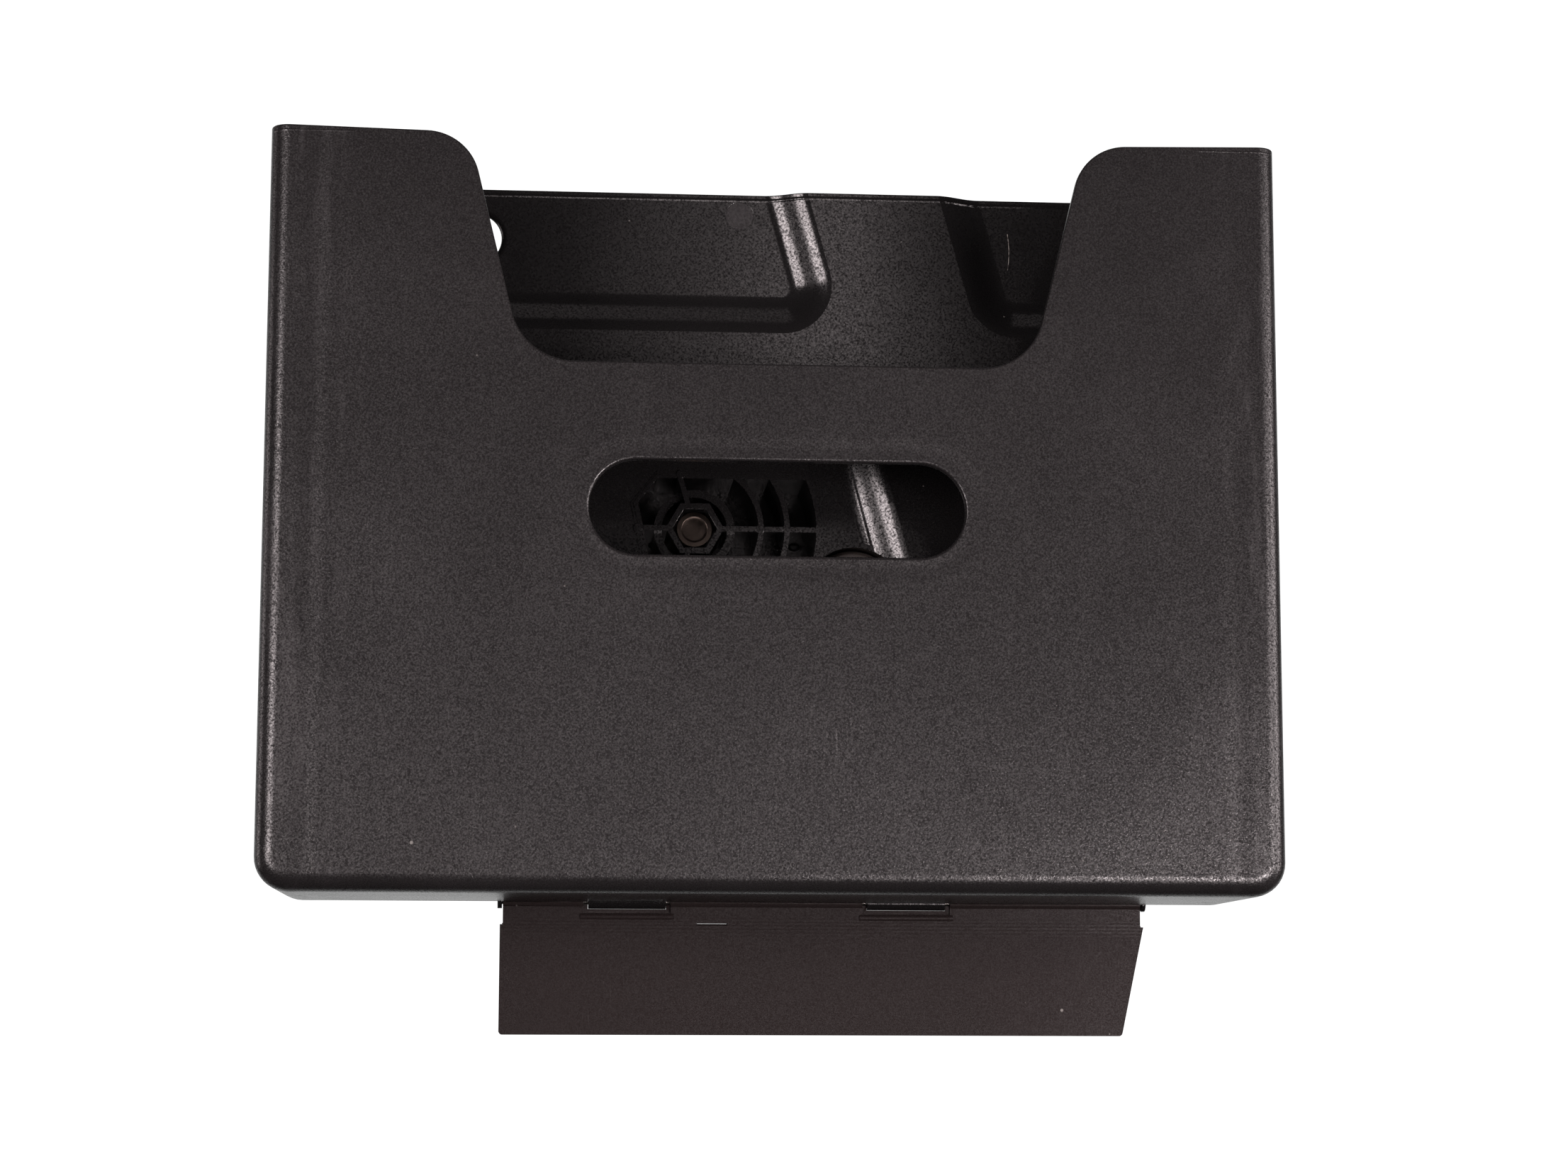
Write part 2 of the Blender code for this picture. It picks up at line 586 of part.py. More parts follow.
def flap_outline():
    """The skirt seen from the front: a narrower neck under the barrel, and a right edge that leans in."""
    neck_left, neck_right = FLAP_LEFT + NECK_LEFT_STEP, FLAP_RIGHT - NECK_RIGHT_STEP
    corners = [
        (FLAP_LEFT, FLAP_BOTTOM),
        (FLAP_RIGHT - FLAP_SLANT, FLAP_BOTTOM),
        (FLAP_RIGHT, FLAP_SHOULDER),
        (neck_right, FLAP_SHOULDER),
        (neck_right, HINGE_Z),
        (neck_left, HINGE_Z),
        (neck_left, FLAP_SHOULDER),
        (FLAP_LEFT, FLAP_SHOULDER),
    ]
    return rounded(corners, [FLAP_CORNER, FLAP_CORNER, 0, 0, 0, 0, 0, 0], 4)


def rib_between(start, end, thick, y0, y1):
    """A straight rib from one point to another on the skirt's rear."""
    run = Vector(end) - Vector(start)
    aside = Vector((-run.y, run.x)).normalized() * thick / 2
    points = [Vector(start) - aside, Vector(end) - aside, Vector(end) + aside, Vector(start) + aside]
    return prism([tuple(p) for p in points], y0, y1)


def truss(rear):
    """The zigzag of ribs on the skirt's rear, and the rim around it."""
    front, top = rear - CHEEK / 2, rear + FLAP_RIB_HEIGHT
    step = (FLAP_RIGHT - FLAP_SLANT - FLAP_LEFT - 2 * TRUSS_SIDE) / TRUSS_BAYS
    ribs = {}
    for i in range(TRUSS_BAYS):
        left = FLAP_LEFT + TRUSS_SIDE + step * i
        peak = (left + step / 2, TRUSS_LOW)
        down = rib_between((left, TRUSS_HIGH), peak, TRUSS_RIB, front, top)
        up = rib_between(peak, (left + step, TRUSS_HIGH), TRUSS_RIB, front, top - NUDGE)
        ribs[f"truss_down_{i + 1}"] = down
        ribs[f"truss_up_{i + 1}"] = up
    low_left, low_right = FLAP_LEFT + 0.7, FLAP_RIGHT - FLAP_SLANT - 0.5
    high_right = FLAP_RIGHT - 0.6
    lines = {
        "rim_low": ((low_left, TRUSS_LOW), (low_right, TRUSS_LOW)),
        "rim_high": ((low_left, TRUSS_HIGH), (high_right, TRUSS_HIGH)),
        "rim_left": ((low_left + 0.5, TRUSS_LOW - 0.4), (low_left + 0.5, TRUSS_HIGH + 0.4)),
        "rim_right": ((low_right - 0.5, TRUSS_LOW - 0.4), (high_right - 0.8, TRUSS_HIGH + 0.4)),
    }
    for k, (name, (start, end)) in enumerate(lines.items()):
        ribs[name] = rib_between(start, end, RIM_RIB, front - 2 * NUDGE, top - 2 * NUDGE * k)
    return ribs


def bottom_flap(plastic):
    """The skirt: a sheet under a barrel, notched around the plate's knuckles, with a truss of ribs behind."""
    pivot = Vector(((FLAP_LEFT + FLAP_RIGHT) / 2, HINGE_Y, HINGE_Z))
    rear = FLAP_FACE + FLAP_SHEET
    front_clear, rear_clear = FLAP_FACE - OVERRUN, rear + OVERRUN
    flap = make("bottom_flap", prism(flap_outline(), FLAP_FACE, rear), pivot)
    barrel = circle((HINGE_Y, HINGE_Z), BARREL, ROUND)
    join(flap, prism_x(barrel, FLAP_LEFT + NECK_LEFT_STEP, FLAP_RIGHT - NECK_RIGHT_STEP), "flap_barrel")
    for name, rib in truss(rear).items():
        join(flap, rib, name)
    above = HINGE_Z + OVERRUN
    shallow = box_outline(front_clear, LIP_Z + LIP_RADIUS, WEB_FRONT, above)
    through = box_outline(front_clear, HINGE_Z - BARREL - GAP, rear_clear, above)
    for i, (x0, x1) in enumerate(KNUCKLES):
        left, right = x0 - NOTCH_SIDE, x1 + NOTCH_SIDE
        lip = circle((FLAP_FACE + LIP_SET_BACK, LIP_Z), LIP_RADIUS, SMALL_ROUND)
        join(flap, prism_x(lip, left - 1.0, right + 1.0), f"notch_lip_{i + 1}")
        cut(flap, prism_x(shallow, left, right), f"notch_{i + 1}")
        cut(flap, prism_x(through, left, right), f"notch_through_{i + 1}")
    pin_hole = circle((HINGE_Y, HINGE_Z), PIN_RADIUS + GAP, SMALL_ROUND)
    cut(flap, prism_x(pin_hole, FLAP_LEFT - OVERRUN, FLAP_RIGHT + OVERRUN), "flap_pin_hole")
    cut(flap, prism(box_outline(*SLIT), front_clear, rear_clear), "slit")
    return finish(flap, plastic)


# ---------------------------------------------------------------------------------------------- pole clamp
def clamp_outline():
    """The saddle and the jaw seen from behind."""
    low, high = BOLT_Z - SADDLE_HALF, BOLT_Z + SADDLE_HALF
    return box_outline(SADDLE_LEFT, low, SADDLE_RIGHT, high, CLAMP_CORNER)


def seat_groove(floor, mouth):
    """The cutter of the trapezoid groove for the pole, from its mouth down to its floor."""
    narrow = SEAT_FLOOR_HALF
    wide = narrow + abs(floor - mouth)
    profile = [(POLE_X - wide, mouth), (POLE_X - narrow, floor)]
    profile += [(POLE_X + narrow, floor), (POLE_X + wide, mouth)]
    return prism_z(profile, BOLT_Z - 2 * SADDLE_HALF, BOLT_Z + 2 * SADDLE_HALF)


def guide_hole(side):
    """The outline of a guide pin's hole, above the bolt for side 1 and below it for side -1."""
    return circle((BOLT_X, BOLT_Z + side * GUIDE_OFFSET), GUIDE_RADIUS + GAP, SMALL_ROUND)


def clamp_saddle(plastic):
    """The fixed half of the clamp, with two pegs that fit into the ribbed block."""
    saddle = make("clamp_saddle", prism(clamp_outline(), SADDLE_FRONT, SADDLE_REAR))
    for i, x in enumerate(PEG_PLACES):
        peg = circle((x, BOLT_Z), PEG_RADIUS, SMALL_ROUND)
        join(saddle, prism(peg, PEG_FRONT, SADDLE_FRONT + 1.0), f"peg_{i + 1}")
    cut(saddle, seat_groove(SADDLE_REAR - SEAT_DEPTH, SADDLE_REAR + 1.0), "saddle_groove")
    cut(saddle, prism(bolt_hole_outline(), SADDLE_FRONT - OVERRUN, SADDLE_REAR + OVERRUN), "saddle_bolt_hole")
    for side in (-1, 1):
        cut(saddle, prism(guide_hole(side), GUIDE_SEAT, SADDLE_REAR + OVERRUN), f"saddle_pin_hole_{side}")
    return finish(saddle, plastic)


def seat_pad(name, floor, mouth, half_length, rubber):
    """A rubber liner that follows the groove's floor and both flanks."""
    away = math.copysign(1.0, mouth - floor)
    outer_floor = floor + away * GAP
    inner_floor = outer_floor + away * PAD
    depth = abs(mouth - outer_floor) - 1.0
    flank = GAP * 0.75
    mouth_y = outer_floor + away * depth
    outer_half = SEAT_FLOOR_HALF - flank
    outer = [(outer_half + depth, mouth_y), (outer_half, outer_floor)]
    inner_half = outer_half - PAD * PAD_CORNER
    inner = [(inner_half, inner_floor), (inner_half + depth - PAD, mouth_y)]
    profile = [(POLE_X - x, y) for x, y in outer]
    profile += [(POLE_X + x, y) for x, y in outer[::-1]]
    profile += [(POLE_X + x, y) for x, y in inner[::-1]]
    profile += [(POLE_X - x, y) for x, y in inner]
    return finish(make(name, prism_z(profile, BOLT_Z - half_length, BOLT_Z + half_length)), rubber)


def guide_pin(name, side, steel):
    """A round pin in the saddle, on which the jaw slides."""
    place = (BOLT_X, BOLT_Z + side * GUIDE_OFFSET)
    narrower, shorter = GUIDE_CHAMFER
    profile = [(GUIDE_RADIUS, GUIDE_SEAT + GAP), (GUIDE_RADIUS, GUIDE_END - shorter)]
    profile.append((GUIDE_RADIUS - narrower, GUIDE_END))
    pivot = Vector((place[0], GUIDE_SEAT, place[1]))
    return finish(make(name, turned(profile, place, SMALL_ROUND), pivot), steel)


def clamp_jaw(plastic):
    """The sliding half of the clamp, with a heel that rests on the saddle's left end."""
    pivot = Vector((BOLT_X, JAW_FRONT, BOLT_Z))
    jaw = make("clamp_jaw", prism(clamp_outline(), JAW_FRONT, JAW_REAR), pivot)
    start, end = SADDLE_LEFT + HEEL_START, SADDLE_LEFT + HEEL_END
    heel = box_outline(start, BOLT_Z - HEEL_HALF, end, BOLT_Z + HEEL_HALF, HEEL_CORNER)
    join(jaw, prism(heel, SADDLE_REAR + GAP, JAW_FRONT + 2.0), "jaw_heel")
    cut(jaw, seat_groove(JAW_FRONT + SEAT_DEPTH, JAW_FRONT - 1.0), "jaw_groove")
    cut(jaw, prism(bolt_hole_outline(), JAW_FRONT - OVERRUN, JAW_REAR + OVERRUN), "jaw_bolt_hole")
    for side in (-1, 1):
        cut(jaw, prism(guide_hole(side), JAW_FRONT - OVERRUN, JAW_REAR + OVERRUN), f"jaw_pin_hole_{side}")
    return finish(jaw, plastic)


def clamp_bolt(steel):
    """A hexagon-head bolt whose head sits in the plate's socket."""
    head = PANEL_FRONT + SOCKET_DEPTH - GAP - BOLT_HEAD_HEIGHT
    under = head + BOLT_HEAD_HEIGHT
    pivot = Vector((BOLT_X, under, BOLT_Z))
    bolt = make("clamp_bolt", prism(hexagon((BOLT_X, BOLT_Z), BOLT_HEAD_FLATS), head, under), pivot)
    flat = BOLT_HEAD_FLATS / 2
    wide = flat + 1.5
    chamfer = [(flat - 0.4, head - 0.2), (wide, head + 0.9), (wide, under + 1.0)]
    keep(bolt, turned(chamfer, (BOLT_X, BOLT_Z), ROUND), "head_chamfer")
    tip = under + BOLT_LENGTH
    narrower, shorter = BOLT_TIP
    shank = [(BOLT_RADIUS, under - 1.0), (BOLT_RADIUS, tip - shorter), (BOLT_RADIUS - narrower, tip)]
    join(bolt, turned(shank, (BOLT_X, BOLT_Z), ROUND), "shank")
    return finish(bolt, steel)


def clamp_washer(steel):
    """The washer between the jaw and the knob."""
    y0 = JAW_REAR + GAP
    pivot = Vector((BOLT_X, y0, BOLT_Z))
    disc = circle((BOLT_X, BOLT_Z), WASHER_RADIUS, ROUND)
    washer = make("clamp_washer", prism(disc, y0, y0 + WASHER_THICK), pivot)
    hole = circle((BOLT_X, BOLT_Z), BOLT_RADIUS + GAP, SMALL_ROUND)
    cut(washer, prism(hole, y0 - OVERRUN, y0 + OVERRUN), "washer_hole")
    return finish(washer, steel)


def knob_outline():
    """A star of round lobes, as a smooth radius that rises and falls about the bolt."""
    sides = 2 * ROUND + 16
    points = []
    for i in range(sides):
        angle = 2 * math.pi * i / sides
        radius = KNOB_RADIUS - KNOB_DIP * (1 - math.cos(KNOB_LOBES * angle)) / 2
        points.append((BOLT_X + radius * math.cos(angle), BOLT_Z + radius * math.sin(angle)))
    return points


def scaled(outline, factor):
    """An outline made larger or smaller about the bolt."""
    return [(BOLT_X + (x - BOLT_X) * factor, BOLT_Z + (z - BOLT_Z) * factor) for x, z in outline]


def star_knob(plastic):
    """The hand knob: a star with softened edges on a round hub."""
    pivot = Vector((BOLT_X, KNOB_FRONT, BOLT_Z))
    star = knob_outline()
    sections = [[(x, KNOB_FRONT + rise, z) for x, z in scaled(star, size)] for size, rise in KNOB_LEVELS]
    knob = make("star_knob", loft(sections), pivot)
    hub = [(radius, KNOB_FRONT + rise) for radius, rise in KNOB_HUB]
    join(knob, turned(hub, (BOLT_X, BOLT_Z), ROUND), "hub")
    bore = circle((BOLT_X, BOLT_Z), INSERT_RADIUS + GAP, ROUND)
    far = KNOB_FRONT + KNOB_LEVELS[-1][1] + OVERRUN
    cut(knob, prism(bore, KNOB_FRONT - OVERRUN, far), "insert_bore")
    return finish(knob, plastic)


def knob_insert(brass):
    """The threaded brass bush in the knob."""
    y0, y1 = KNOB_FRONT, KNOB_FRONT + INSERT_LENGTH
    pivot = Vector((BOLT_X, y0, BOLT_Z))
    insert = make("knob_insert", prism(circle((BOLT_X, BOLT_Z), INSERT_RADIUS, ROUND), y0, y1), pivot)
    thread = circle((BOLT_X, BOLT_Z), BOLT_RADIUS + GAP, SMALL_ROUND)
    cut(insert, prism(thread, y0 - OVERRUN, y1 + OVERRUN), "thread")
    return finish(insert, brass)


# --------------------------------------------------------------------------------------------------- build
def main():
    for old in list(bpy.data.objects):
        bpy.data.objects.remove(old)
    plastic = material("black_plastic", (0.035, 0.034, 0.034), 0.48)
    fine_plastic = material("fine_black_plastic", (0.030, 0.029, 0.029), 0.40)
    clamp_plastic = material("clamp_plastic", (0.028, 0.028, 0.030), 0.55)
    rubber = material("grey_rubber", (0.09, 0.09, 0.095), 0.80)
    steel = material("zinc_steel", (0.52, 0.50, 0.47), 0.32, 1.0)
    brass = material("brass", (0.66, 0.49, 0.22), 0.30, 1.0)

    front_shell(plastic)
    back_plate(plastic)
    blanking_plug(fine_plastic)
    for i, place in enumerate(screw_places()):
        shell_screw(i + 1, place, steel)
    hinge_pin(steel)
    bottom_flap(fine_plastic)
    clamp_bolt(steel)
    clamp_saddle(clamp_plastic)
    seat_pad("saddle_pad", SADDLE_REAR - SEAT_DEPTH, SADDLE_REAR, SADDLE_HALF - 1.0, rubber)
    guide_pin("guide_pin_upper", 1, steel)
    guide_pin("guide_pin_lower", -1, steel)
    clamp_jaw(clamp_plastic)
    seat_pad("jaw_pad", JAW_FRONT + SEAT_DEPTH, JAW_FRONT, SADDLE_HALF - 1.0, rubber)
    clamp_washer(steel)
    star_knob(clamp_plastic)
    knob_insert(brass)


main()
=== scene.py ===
import math

import bmesh
import bpy
from mathutils import Matrix, Vector


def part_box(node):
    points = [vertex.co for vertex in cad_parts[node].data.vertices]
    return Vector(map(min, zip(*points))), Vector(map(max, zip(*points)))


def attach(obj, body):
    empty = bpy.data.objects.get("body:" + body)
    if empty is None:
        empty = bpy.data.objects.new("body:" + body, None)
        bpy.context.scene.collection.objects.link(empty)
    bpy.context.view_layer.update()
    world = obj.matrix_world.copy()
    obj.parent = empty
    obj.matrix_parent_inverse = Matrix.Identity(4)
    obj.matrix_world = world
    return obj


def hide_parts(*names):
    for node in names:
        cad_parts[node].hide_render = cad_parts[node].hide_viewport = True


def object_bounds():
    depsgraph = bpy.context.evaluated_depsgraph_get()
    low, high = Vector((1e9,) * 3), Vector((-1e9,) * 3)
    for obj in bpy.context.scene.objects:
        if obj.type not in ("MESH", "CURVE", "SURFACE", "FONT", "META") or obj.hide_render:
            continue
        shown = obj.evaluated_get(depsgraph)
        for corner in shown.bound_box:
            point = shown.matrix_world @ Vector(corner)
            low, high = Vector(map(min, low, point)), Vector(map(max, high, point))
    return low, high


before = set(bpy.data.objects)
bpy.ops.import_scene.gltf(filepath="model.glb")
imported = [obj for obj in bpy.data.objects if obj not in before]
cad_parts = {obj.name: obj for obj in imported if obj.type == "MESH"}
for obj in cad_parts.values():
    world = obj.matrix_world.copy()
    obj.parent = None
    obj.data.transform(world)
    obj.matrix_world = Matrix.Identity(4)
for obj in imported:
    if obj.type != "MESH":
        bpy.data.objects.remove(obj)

# --------------------------------- the frame's own sizes, in drawing millimetres
# Drawing axes: X to the right from the shell's middle, Y from its front face to the rear,
# Z up from its underside.
MM = 0.001
CAD_LOW, CAD_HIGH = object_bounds()
SHELL_LOW, SHELL_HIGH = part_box("front_shell")
ORIGIN = Vector((-(SHELL_LOW.x + SHELL_HIGH.x) / 2, -SHELL_LOW.y, -SHELL_LOW.z)) / MM


def drawn_box(node):
    """A CAD node's lowest and highest corners in drawing millimetres."""
    low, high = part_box(node)
    return low / MM + ORIGIN, high / MM + ORIGIN


def middle(node):
    """The middle of a CAD node's box in drawing millimetres."""
    low, high = drawn_box(node)
    return (low + high) / 2


SHELL_WIDTH, SHELL_DEPTH, SHELL_HEIGHT = (SHELL_HIGH - SHELL_LOW) / MM
BOLT_AXIS = BOLT_X, BOLT_Z = middle("clamp_bolt").xz
PLUG_AXIS = middle("blanking_plug").xz
HINGE_AXIS = HINGE_Y, HINGE_Z = middle("hinge_pin").yz
PIN_LEFT, PIN_RIGHT = [corner.x for corner in drawn_box("hinge_pin")]
FLAP_LEFT, FLAP_RIGHT = [corner.x for corner in drawn_box("bottom_flap")]
FLAP_BOTTOM = drawn_box("bottom_flap")[0].z
BLOCK_REAR, PLATE_TOP = drawn_box("back_plate")[1].yz
SADDLE_LOW, SADDLE_HIGH = drawn_box("clamp_saddle")
JAW_HIGH = drawn_box("clamp_jaw")[1]
KNOB_LOW, KNOB_HIGH = drawn_box("star_knob")
BOLT_FRONT, BOLT_TIP = [corner.y for corner in drawn_box("clamp_bolt")]

# ------------------------------------------------------ sizes of the fine shapes
GAP = 0.3
OVERRUN = 12.0
NUDGE = 0.05
SLIVER = 0.06   # shorter edges than this are closed up after the cuts
WALL = 2.8
FRONT_FILLET = 6.0
BOTTOM_CORNER = 10.3
TOP_SLOPE = 0.0206
U_FLOOR = SHELL_HEIGHT - 70.6
U_HALF_TOP = 93.6
U_SIDE_SLOPE = 0.2473
U_TOP_RADIUS = 16.3
U_FLOOR_RADIUS = 19.3
SLOT_LENGTH, SLOT_HEIGHT, SLOT_Z = 112.4, 28.4, 114.2
SLOT_LEAD = 1.0

PANEL_FRONT, BAND_FRONT, SHEET = 63.0, 58.0, 2.5
STEP_RUN, STEP_CORNER, STEP_LEAD = 14.0, 16.5, 0.25
SLANT, SLANT_X_AT_TOP, SLANT_HALF = 0.277, 34.6, 27.6
BAND_Z, BAND_HALF = 169.0, 17.5
HANG_HOLE, HANG_RADIUS, HANG_RIM = (-91.8, 210.6), 7.8, 1.2
EJECTOR_MARK, EJECTOR_RADIUS, EJECTOR_DEPTH = (-8.0, 219.5), 4.5, 0.12
SCRATCH_MIDDLE, SCRATCH_HALF = (79.2, 209.4), 6.0
SCRATCH_BOW = 14.0   # metres sideways for each square metre up or down

BLOCK_WALL, BLOCK_HEM, POCKET_FLOOR, RIM_RISE, RIB = 1.5, 0.9, 94.0, 0.6, 1.7
RIB_RADII = (21.0, 29.3)
BLOCK_RADIUS, BLOCK_HALF = 38.6, 16.0
BLOCK_TOP_LEFT, BLOCK_BOTTOM_LEFT = -12.0, -13.6
BLOCK_LEFT = ((-18.0, 8.0), (-16.2, 0.0))
UPRIGHT_LEAN = 0.29
HEX_POST, HEX_SOCKET, SOCKET_DEPTH = 16.0, 12.2, 6.4
RING_OUTER, RING_INNER, RING_DROP = 12.85, 10.4, 3.0
PIN_MARKS = ((-4.6, 17.2), (-18.0, -0.1), (20.7, 0.0), (29.2, 0.2))   # on the ribs, from the bolt
PIN_MARK_RADIUS, PIN_MARK_RISE = 1.45, 0.14
PLUG_RADIUS, PLUG_RIM, PLUG_FRONT, PLUG_SEAT = 15.1, 17.1, 67.4, 71.0
PLUG_SHOULDER, PLUG_BOSS_REAR, PLUG_DISH = 3.0, 74.0, 12.9

SCREW_X, SCREW_HEIGHTS = 143.6, (26.0, 112.0, 200.0)
SCREW_RADIUS, SCREW_BOSS, BOSS_FRONT, SCREW_TIP = 1.7, 5.0, 43.0, 48.5
SCREW_PITCH, SCREW_THREAD, SCREW_HOLE_FRONT = 1.3, 0.35, 47.0
SCREW_HEAD_RADIUS, SCREW_SLOT_HALF, SCREW_SLOT_HALF_WIDTH = 3.4, 1.7, 0.32

BARREL, PIN_RADIUS = 2.6, 1.2
FLAP_SHOULDER, FLAP_SLANT, FLAP_FACE, FLAP_SHEET = -7.0, 7.2, 67.6, 2.2
NECK_LEFT_STEP, NECK_RIGHT_STEP = 0.9, 1.0
FLAP_RIB_HEIGHT, FLAP_CORNER = 3.4, 1.2
TRUSS_BAYS, TRUSS_RIB, RIM_RIB, TRUSS_SIDE = 5, 1.4, 1.6, 1.5
TRUSS_LOW, TRUSS_HIGH = FLAP_BOTTOM + 1.4, FLAP_SHOULDER - 0.4
TRUSS_BAY = (FLAP_RIGHT - FLAP_SLANT - FLAP_LEFT - 2 * TRUSS_SIDE) / TRUSS_BAYS
SLIT = (-20.0, -7.0, -10.5, -6.5)
LIP_Z, LIP_RADIUS, LIP_SET_BACK, WEB_FRONT = -4.5, 1.05, 0.5, 68.3
KNUCKLE_CLEARANCE, KNUCKLE_SIDE_GAP = 0.25, 0.12
KNUCKLES = ((-54.0, -29.8), (33.5, 58.1))
NOTCH_SIDE, KNUCKLE_RADIUS, KNUCKLE_TOP, KNUCKLE_SHOULDER = 1.5, BARREL - 0.1, 16.0, 7.0
CHEEK, CHEEK_LAP = 1.4, 0.8

POLE_X = 3.3
JAW_FRONT = JAW_HIGH.y - 10.0
JAW_POCKET = (POLE_X - 8.0, BOLT_Z - 14.0, POLE_X + 16.0, BOLT_Z + 14.0)
JAW_POCKET_CORNER, JAW_POCKET_DEPTH = 3.0, 1.2
PAD_GROOVES, PAD_GROOVE_PITCH, PAD_GROOVE_HALF = 11, 3.0, 0.5
SEAT_FLOOR_HALF, SEAT_DEPTH, PAD, PAD_CORNER = 5.0, 6.0, 1.5, 0.42
CLAMP_CORNER, HEEL_HALF, HEEL_START, HEEL_END = 8.0, 12.0, 1.0, 8.0
GUIDE_OFFSET, GUIDE_RADIUS, GUIDE_SEAT, GUIDE_END = 13.0, 2.0, 99.0, 129.6
PEG_PLACES, PEG_RADIUS = (BOLT_X - 11.6, BOLT_X + 34.0), 2.0
PEG_FRONT, PEG_HOLE_FRONT = 94.4, 90.0
BOLT_RADIUS, BOLT_ROOT, BOLT_PITCH, BOLT_PLAIN = 3.1, 2.55, 1.27, 28.0
BOLT_HEAD_FLATS, BOLT_HEAD_HEIGHT = 11.1, 4.1
WASHER_RADIUS, WASHER_THICK = 9.0, 1.6
KNOB_RADIUS, KNOB_LOBES, KNOB_DIP, KNOB_ROUND, KNOB_HUB = 22.0, 5, 5.5, 3.2, 6.0
INSERT_RADIUS, INSERT_LENGTH = 5.0, 16.0

FINE_ROUND = 64
SMALL_ROUND = 32


# ---------------------------------------------------------------------- outlines
def arc(centre, radius, start, end, steps):
    """Points along a circular arc, in degrees, both ends included."""
    angles = [math.radians(start + (end - start) * i / steps) for i in range(steps + 1)]
    return [(centre[0] + radius * math.cos(a), centre[1] + radius * math.sin(a)) for a in angles]


def circle(centre, radius, sides):
    """A closed circle of points."""
    return arc(centre, radius, 0.0, 360.0, sides)[:-1]


def hexagon(centre, flats):
    """A hexagon across flats with a corner to either side."""
    return circle(centre, flats / math.sqrt(3.0), 6)


def rounded(points, radii, steps):
    """A closed polygon with each corner turned into an arc of its own radius; 0 keeps the corner."""
    outline = []
    for i, corner in enumerate(points):
        here = Vector(corner)
        if radii[i] == 0:
            outline.append(tuple(here))
            continue
        before = (Vector(points[i - 1]) - here).normalized()
        after = (Vector(points[(i + 1) % len(points)]) - here).normalized()
        half = before.angle(after) / 2
        reach = radii[i] / math.tan(half)
        centre = here + (before + after).normalized() * (radii[i] / math.sin(half))
        start, end = here + before * reach - centre, here + after * reach - centre
        first = math.atan2(start.y, start.x)
        turn = (math.atan2(end.y, end.x) - first + math.pi) % (2 * math.pi) - math.pi
        for k in range(steps + 1):
            angle = first + turn * k / steps
            outline.append((centre.x + radii[i] * math.cos(angle), centre.y + radii[i] * math.sin(angle)))
    return outline


def box_outline(x0, z0, x1, z1, radius=0.0, steps=8):
    """A rectangle with equal corner radii."""
    return rounded([(x0, z0), (x1, z0), (x1, z1), (x0, z1)], [radius] * 4, steps)


# ------------------------------------------------------------------------ solids
def loft(sections):
    """A closed solid through loops of equally many 3-D points, with flat ends and outward faces."""
    bm = bmesh.new()
    loops = [[bm.verts.new(p) for p in section] for section in sections]
    for lower, upper in zip(loops, loops[1:]):
        for i in range(len(lower)):
            j = (i + 1) % len(lower)
            bm.faces.new((lower[i], lower[j], upper[j], upper[i]))
    bm.faces.new(loops[0][::-1])
    bm.faces.new(loops[-1])
    bmesh.ops.recalc_face_normals(bm, faces=bm.faces)
    return bm


def prism(outline, y0, y1):
    """An outline in X and Z, drawn out along Y."""
    return loft([[(x, y, z) for x, z in outline] for y in (y0, y1)])


def prism_x(profile, x0, x1):
    """A profile in Y and Z, drawn out along X."""
    return loft([[(x, y, z) for y, z in profile] for x in (x0, x1)])


def prism_z(profile, z0, z1):
    """A profile in X and Y, drawn out along Z."""
    return loft([[(x, y, z) for x, y in profile] for z in (z0, z1)])


def turned(profile, centre, sides):
    """A solid of revolution about a line along Y: profile gives (radius, y) from end to end."""
    return loft([[(x, y, z) for x, z in circle(centre, r, sides)] for r, y in profile])


def rod(centre, radius, y0, y1, sides=SMALL_ROUND):
    """A round bar along Y."""
    return prism(circle(centre, radius, sides), y0, y1)


def hoop(profile, centre, sides):
    """A ring about a line along Y; profile gives (radius, y) round its section."""
    bm = bmesh.new()
    loops = [[bm.verts.new((x, y, z)) for x, z in circle(centre, r, sides)] for r, y in profile]
    for loop, following in zip(loops, loops[1:] + loops[:1]):
        for i in range(len(loop)):
            j = (i + 1) % len(loop)
            bm.faces.new((loop[i], loop[j], following[j], following[i]))
    bmesh.ops.recalc_face_normals(bm, faces=bm.faces)
    return bm


def solid(name, bm):
    """Turns a bmesh drawn in millimetres into an object in metres in the frame."""
    to_frame = Matrix.Scale(MM, 4) @ Matrix.Translation(-ORIGIN)
    bmesh.ops.transform(bm, matrix=to_frame, verts=bm.verts)
    mesh = bpy.data.meshes.new(name)
    bm.to_mesh(mesh)
    bm.free()
    made = bpy.data.objects.new(name, mesh)
    bpy.context.scene.collection.objects.link(made)
    return made


def carve(piece, steps):
    """Cuts, joins or keeps helper solids in turn, and leaves the result in the piece's own mesh."""
    helpers = []
    for i, (operation, bm) in enumerate(steps):
        helper = solid(f"{piece.name}_helper_{i}", bm)
        helpers.append(helper)
        step = piece.modifiers.new(helper.name, "BOOLEAN")
        step.operation = operation
        step.solver = "EXACT"
        step.object = helper
    bpy.context.view_layer.update()
    evaluated = piece.evaluated_get(bpy.context.evaluated_depsgraph_get())
    result = bpy.data.meshes.new_from_object(evaluated)
    piece.modifiers.clear()
    piece.data = result
    for helper in helpers:
        bpy.data.objects.remove(helper)
    return piece


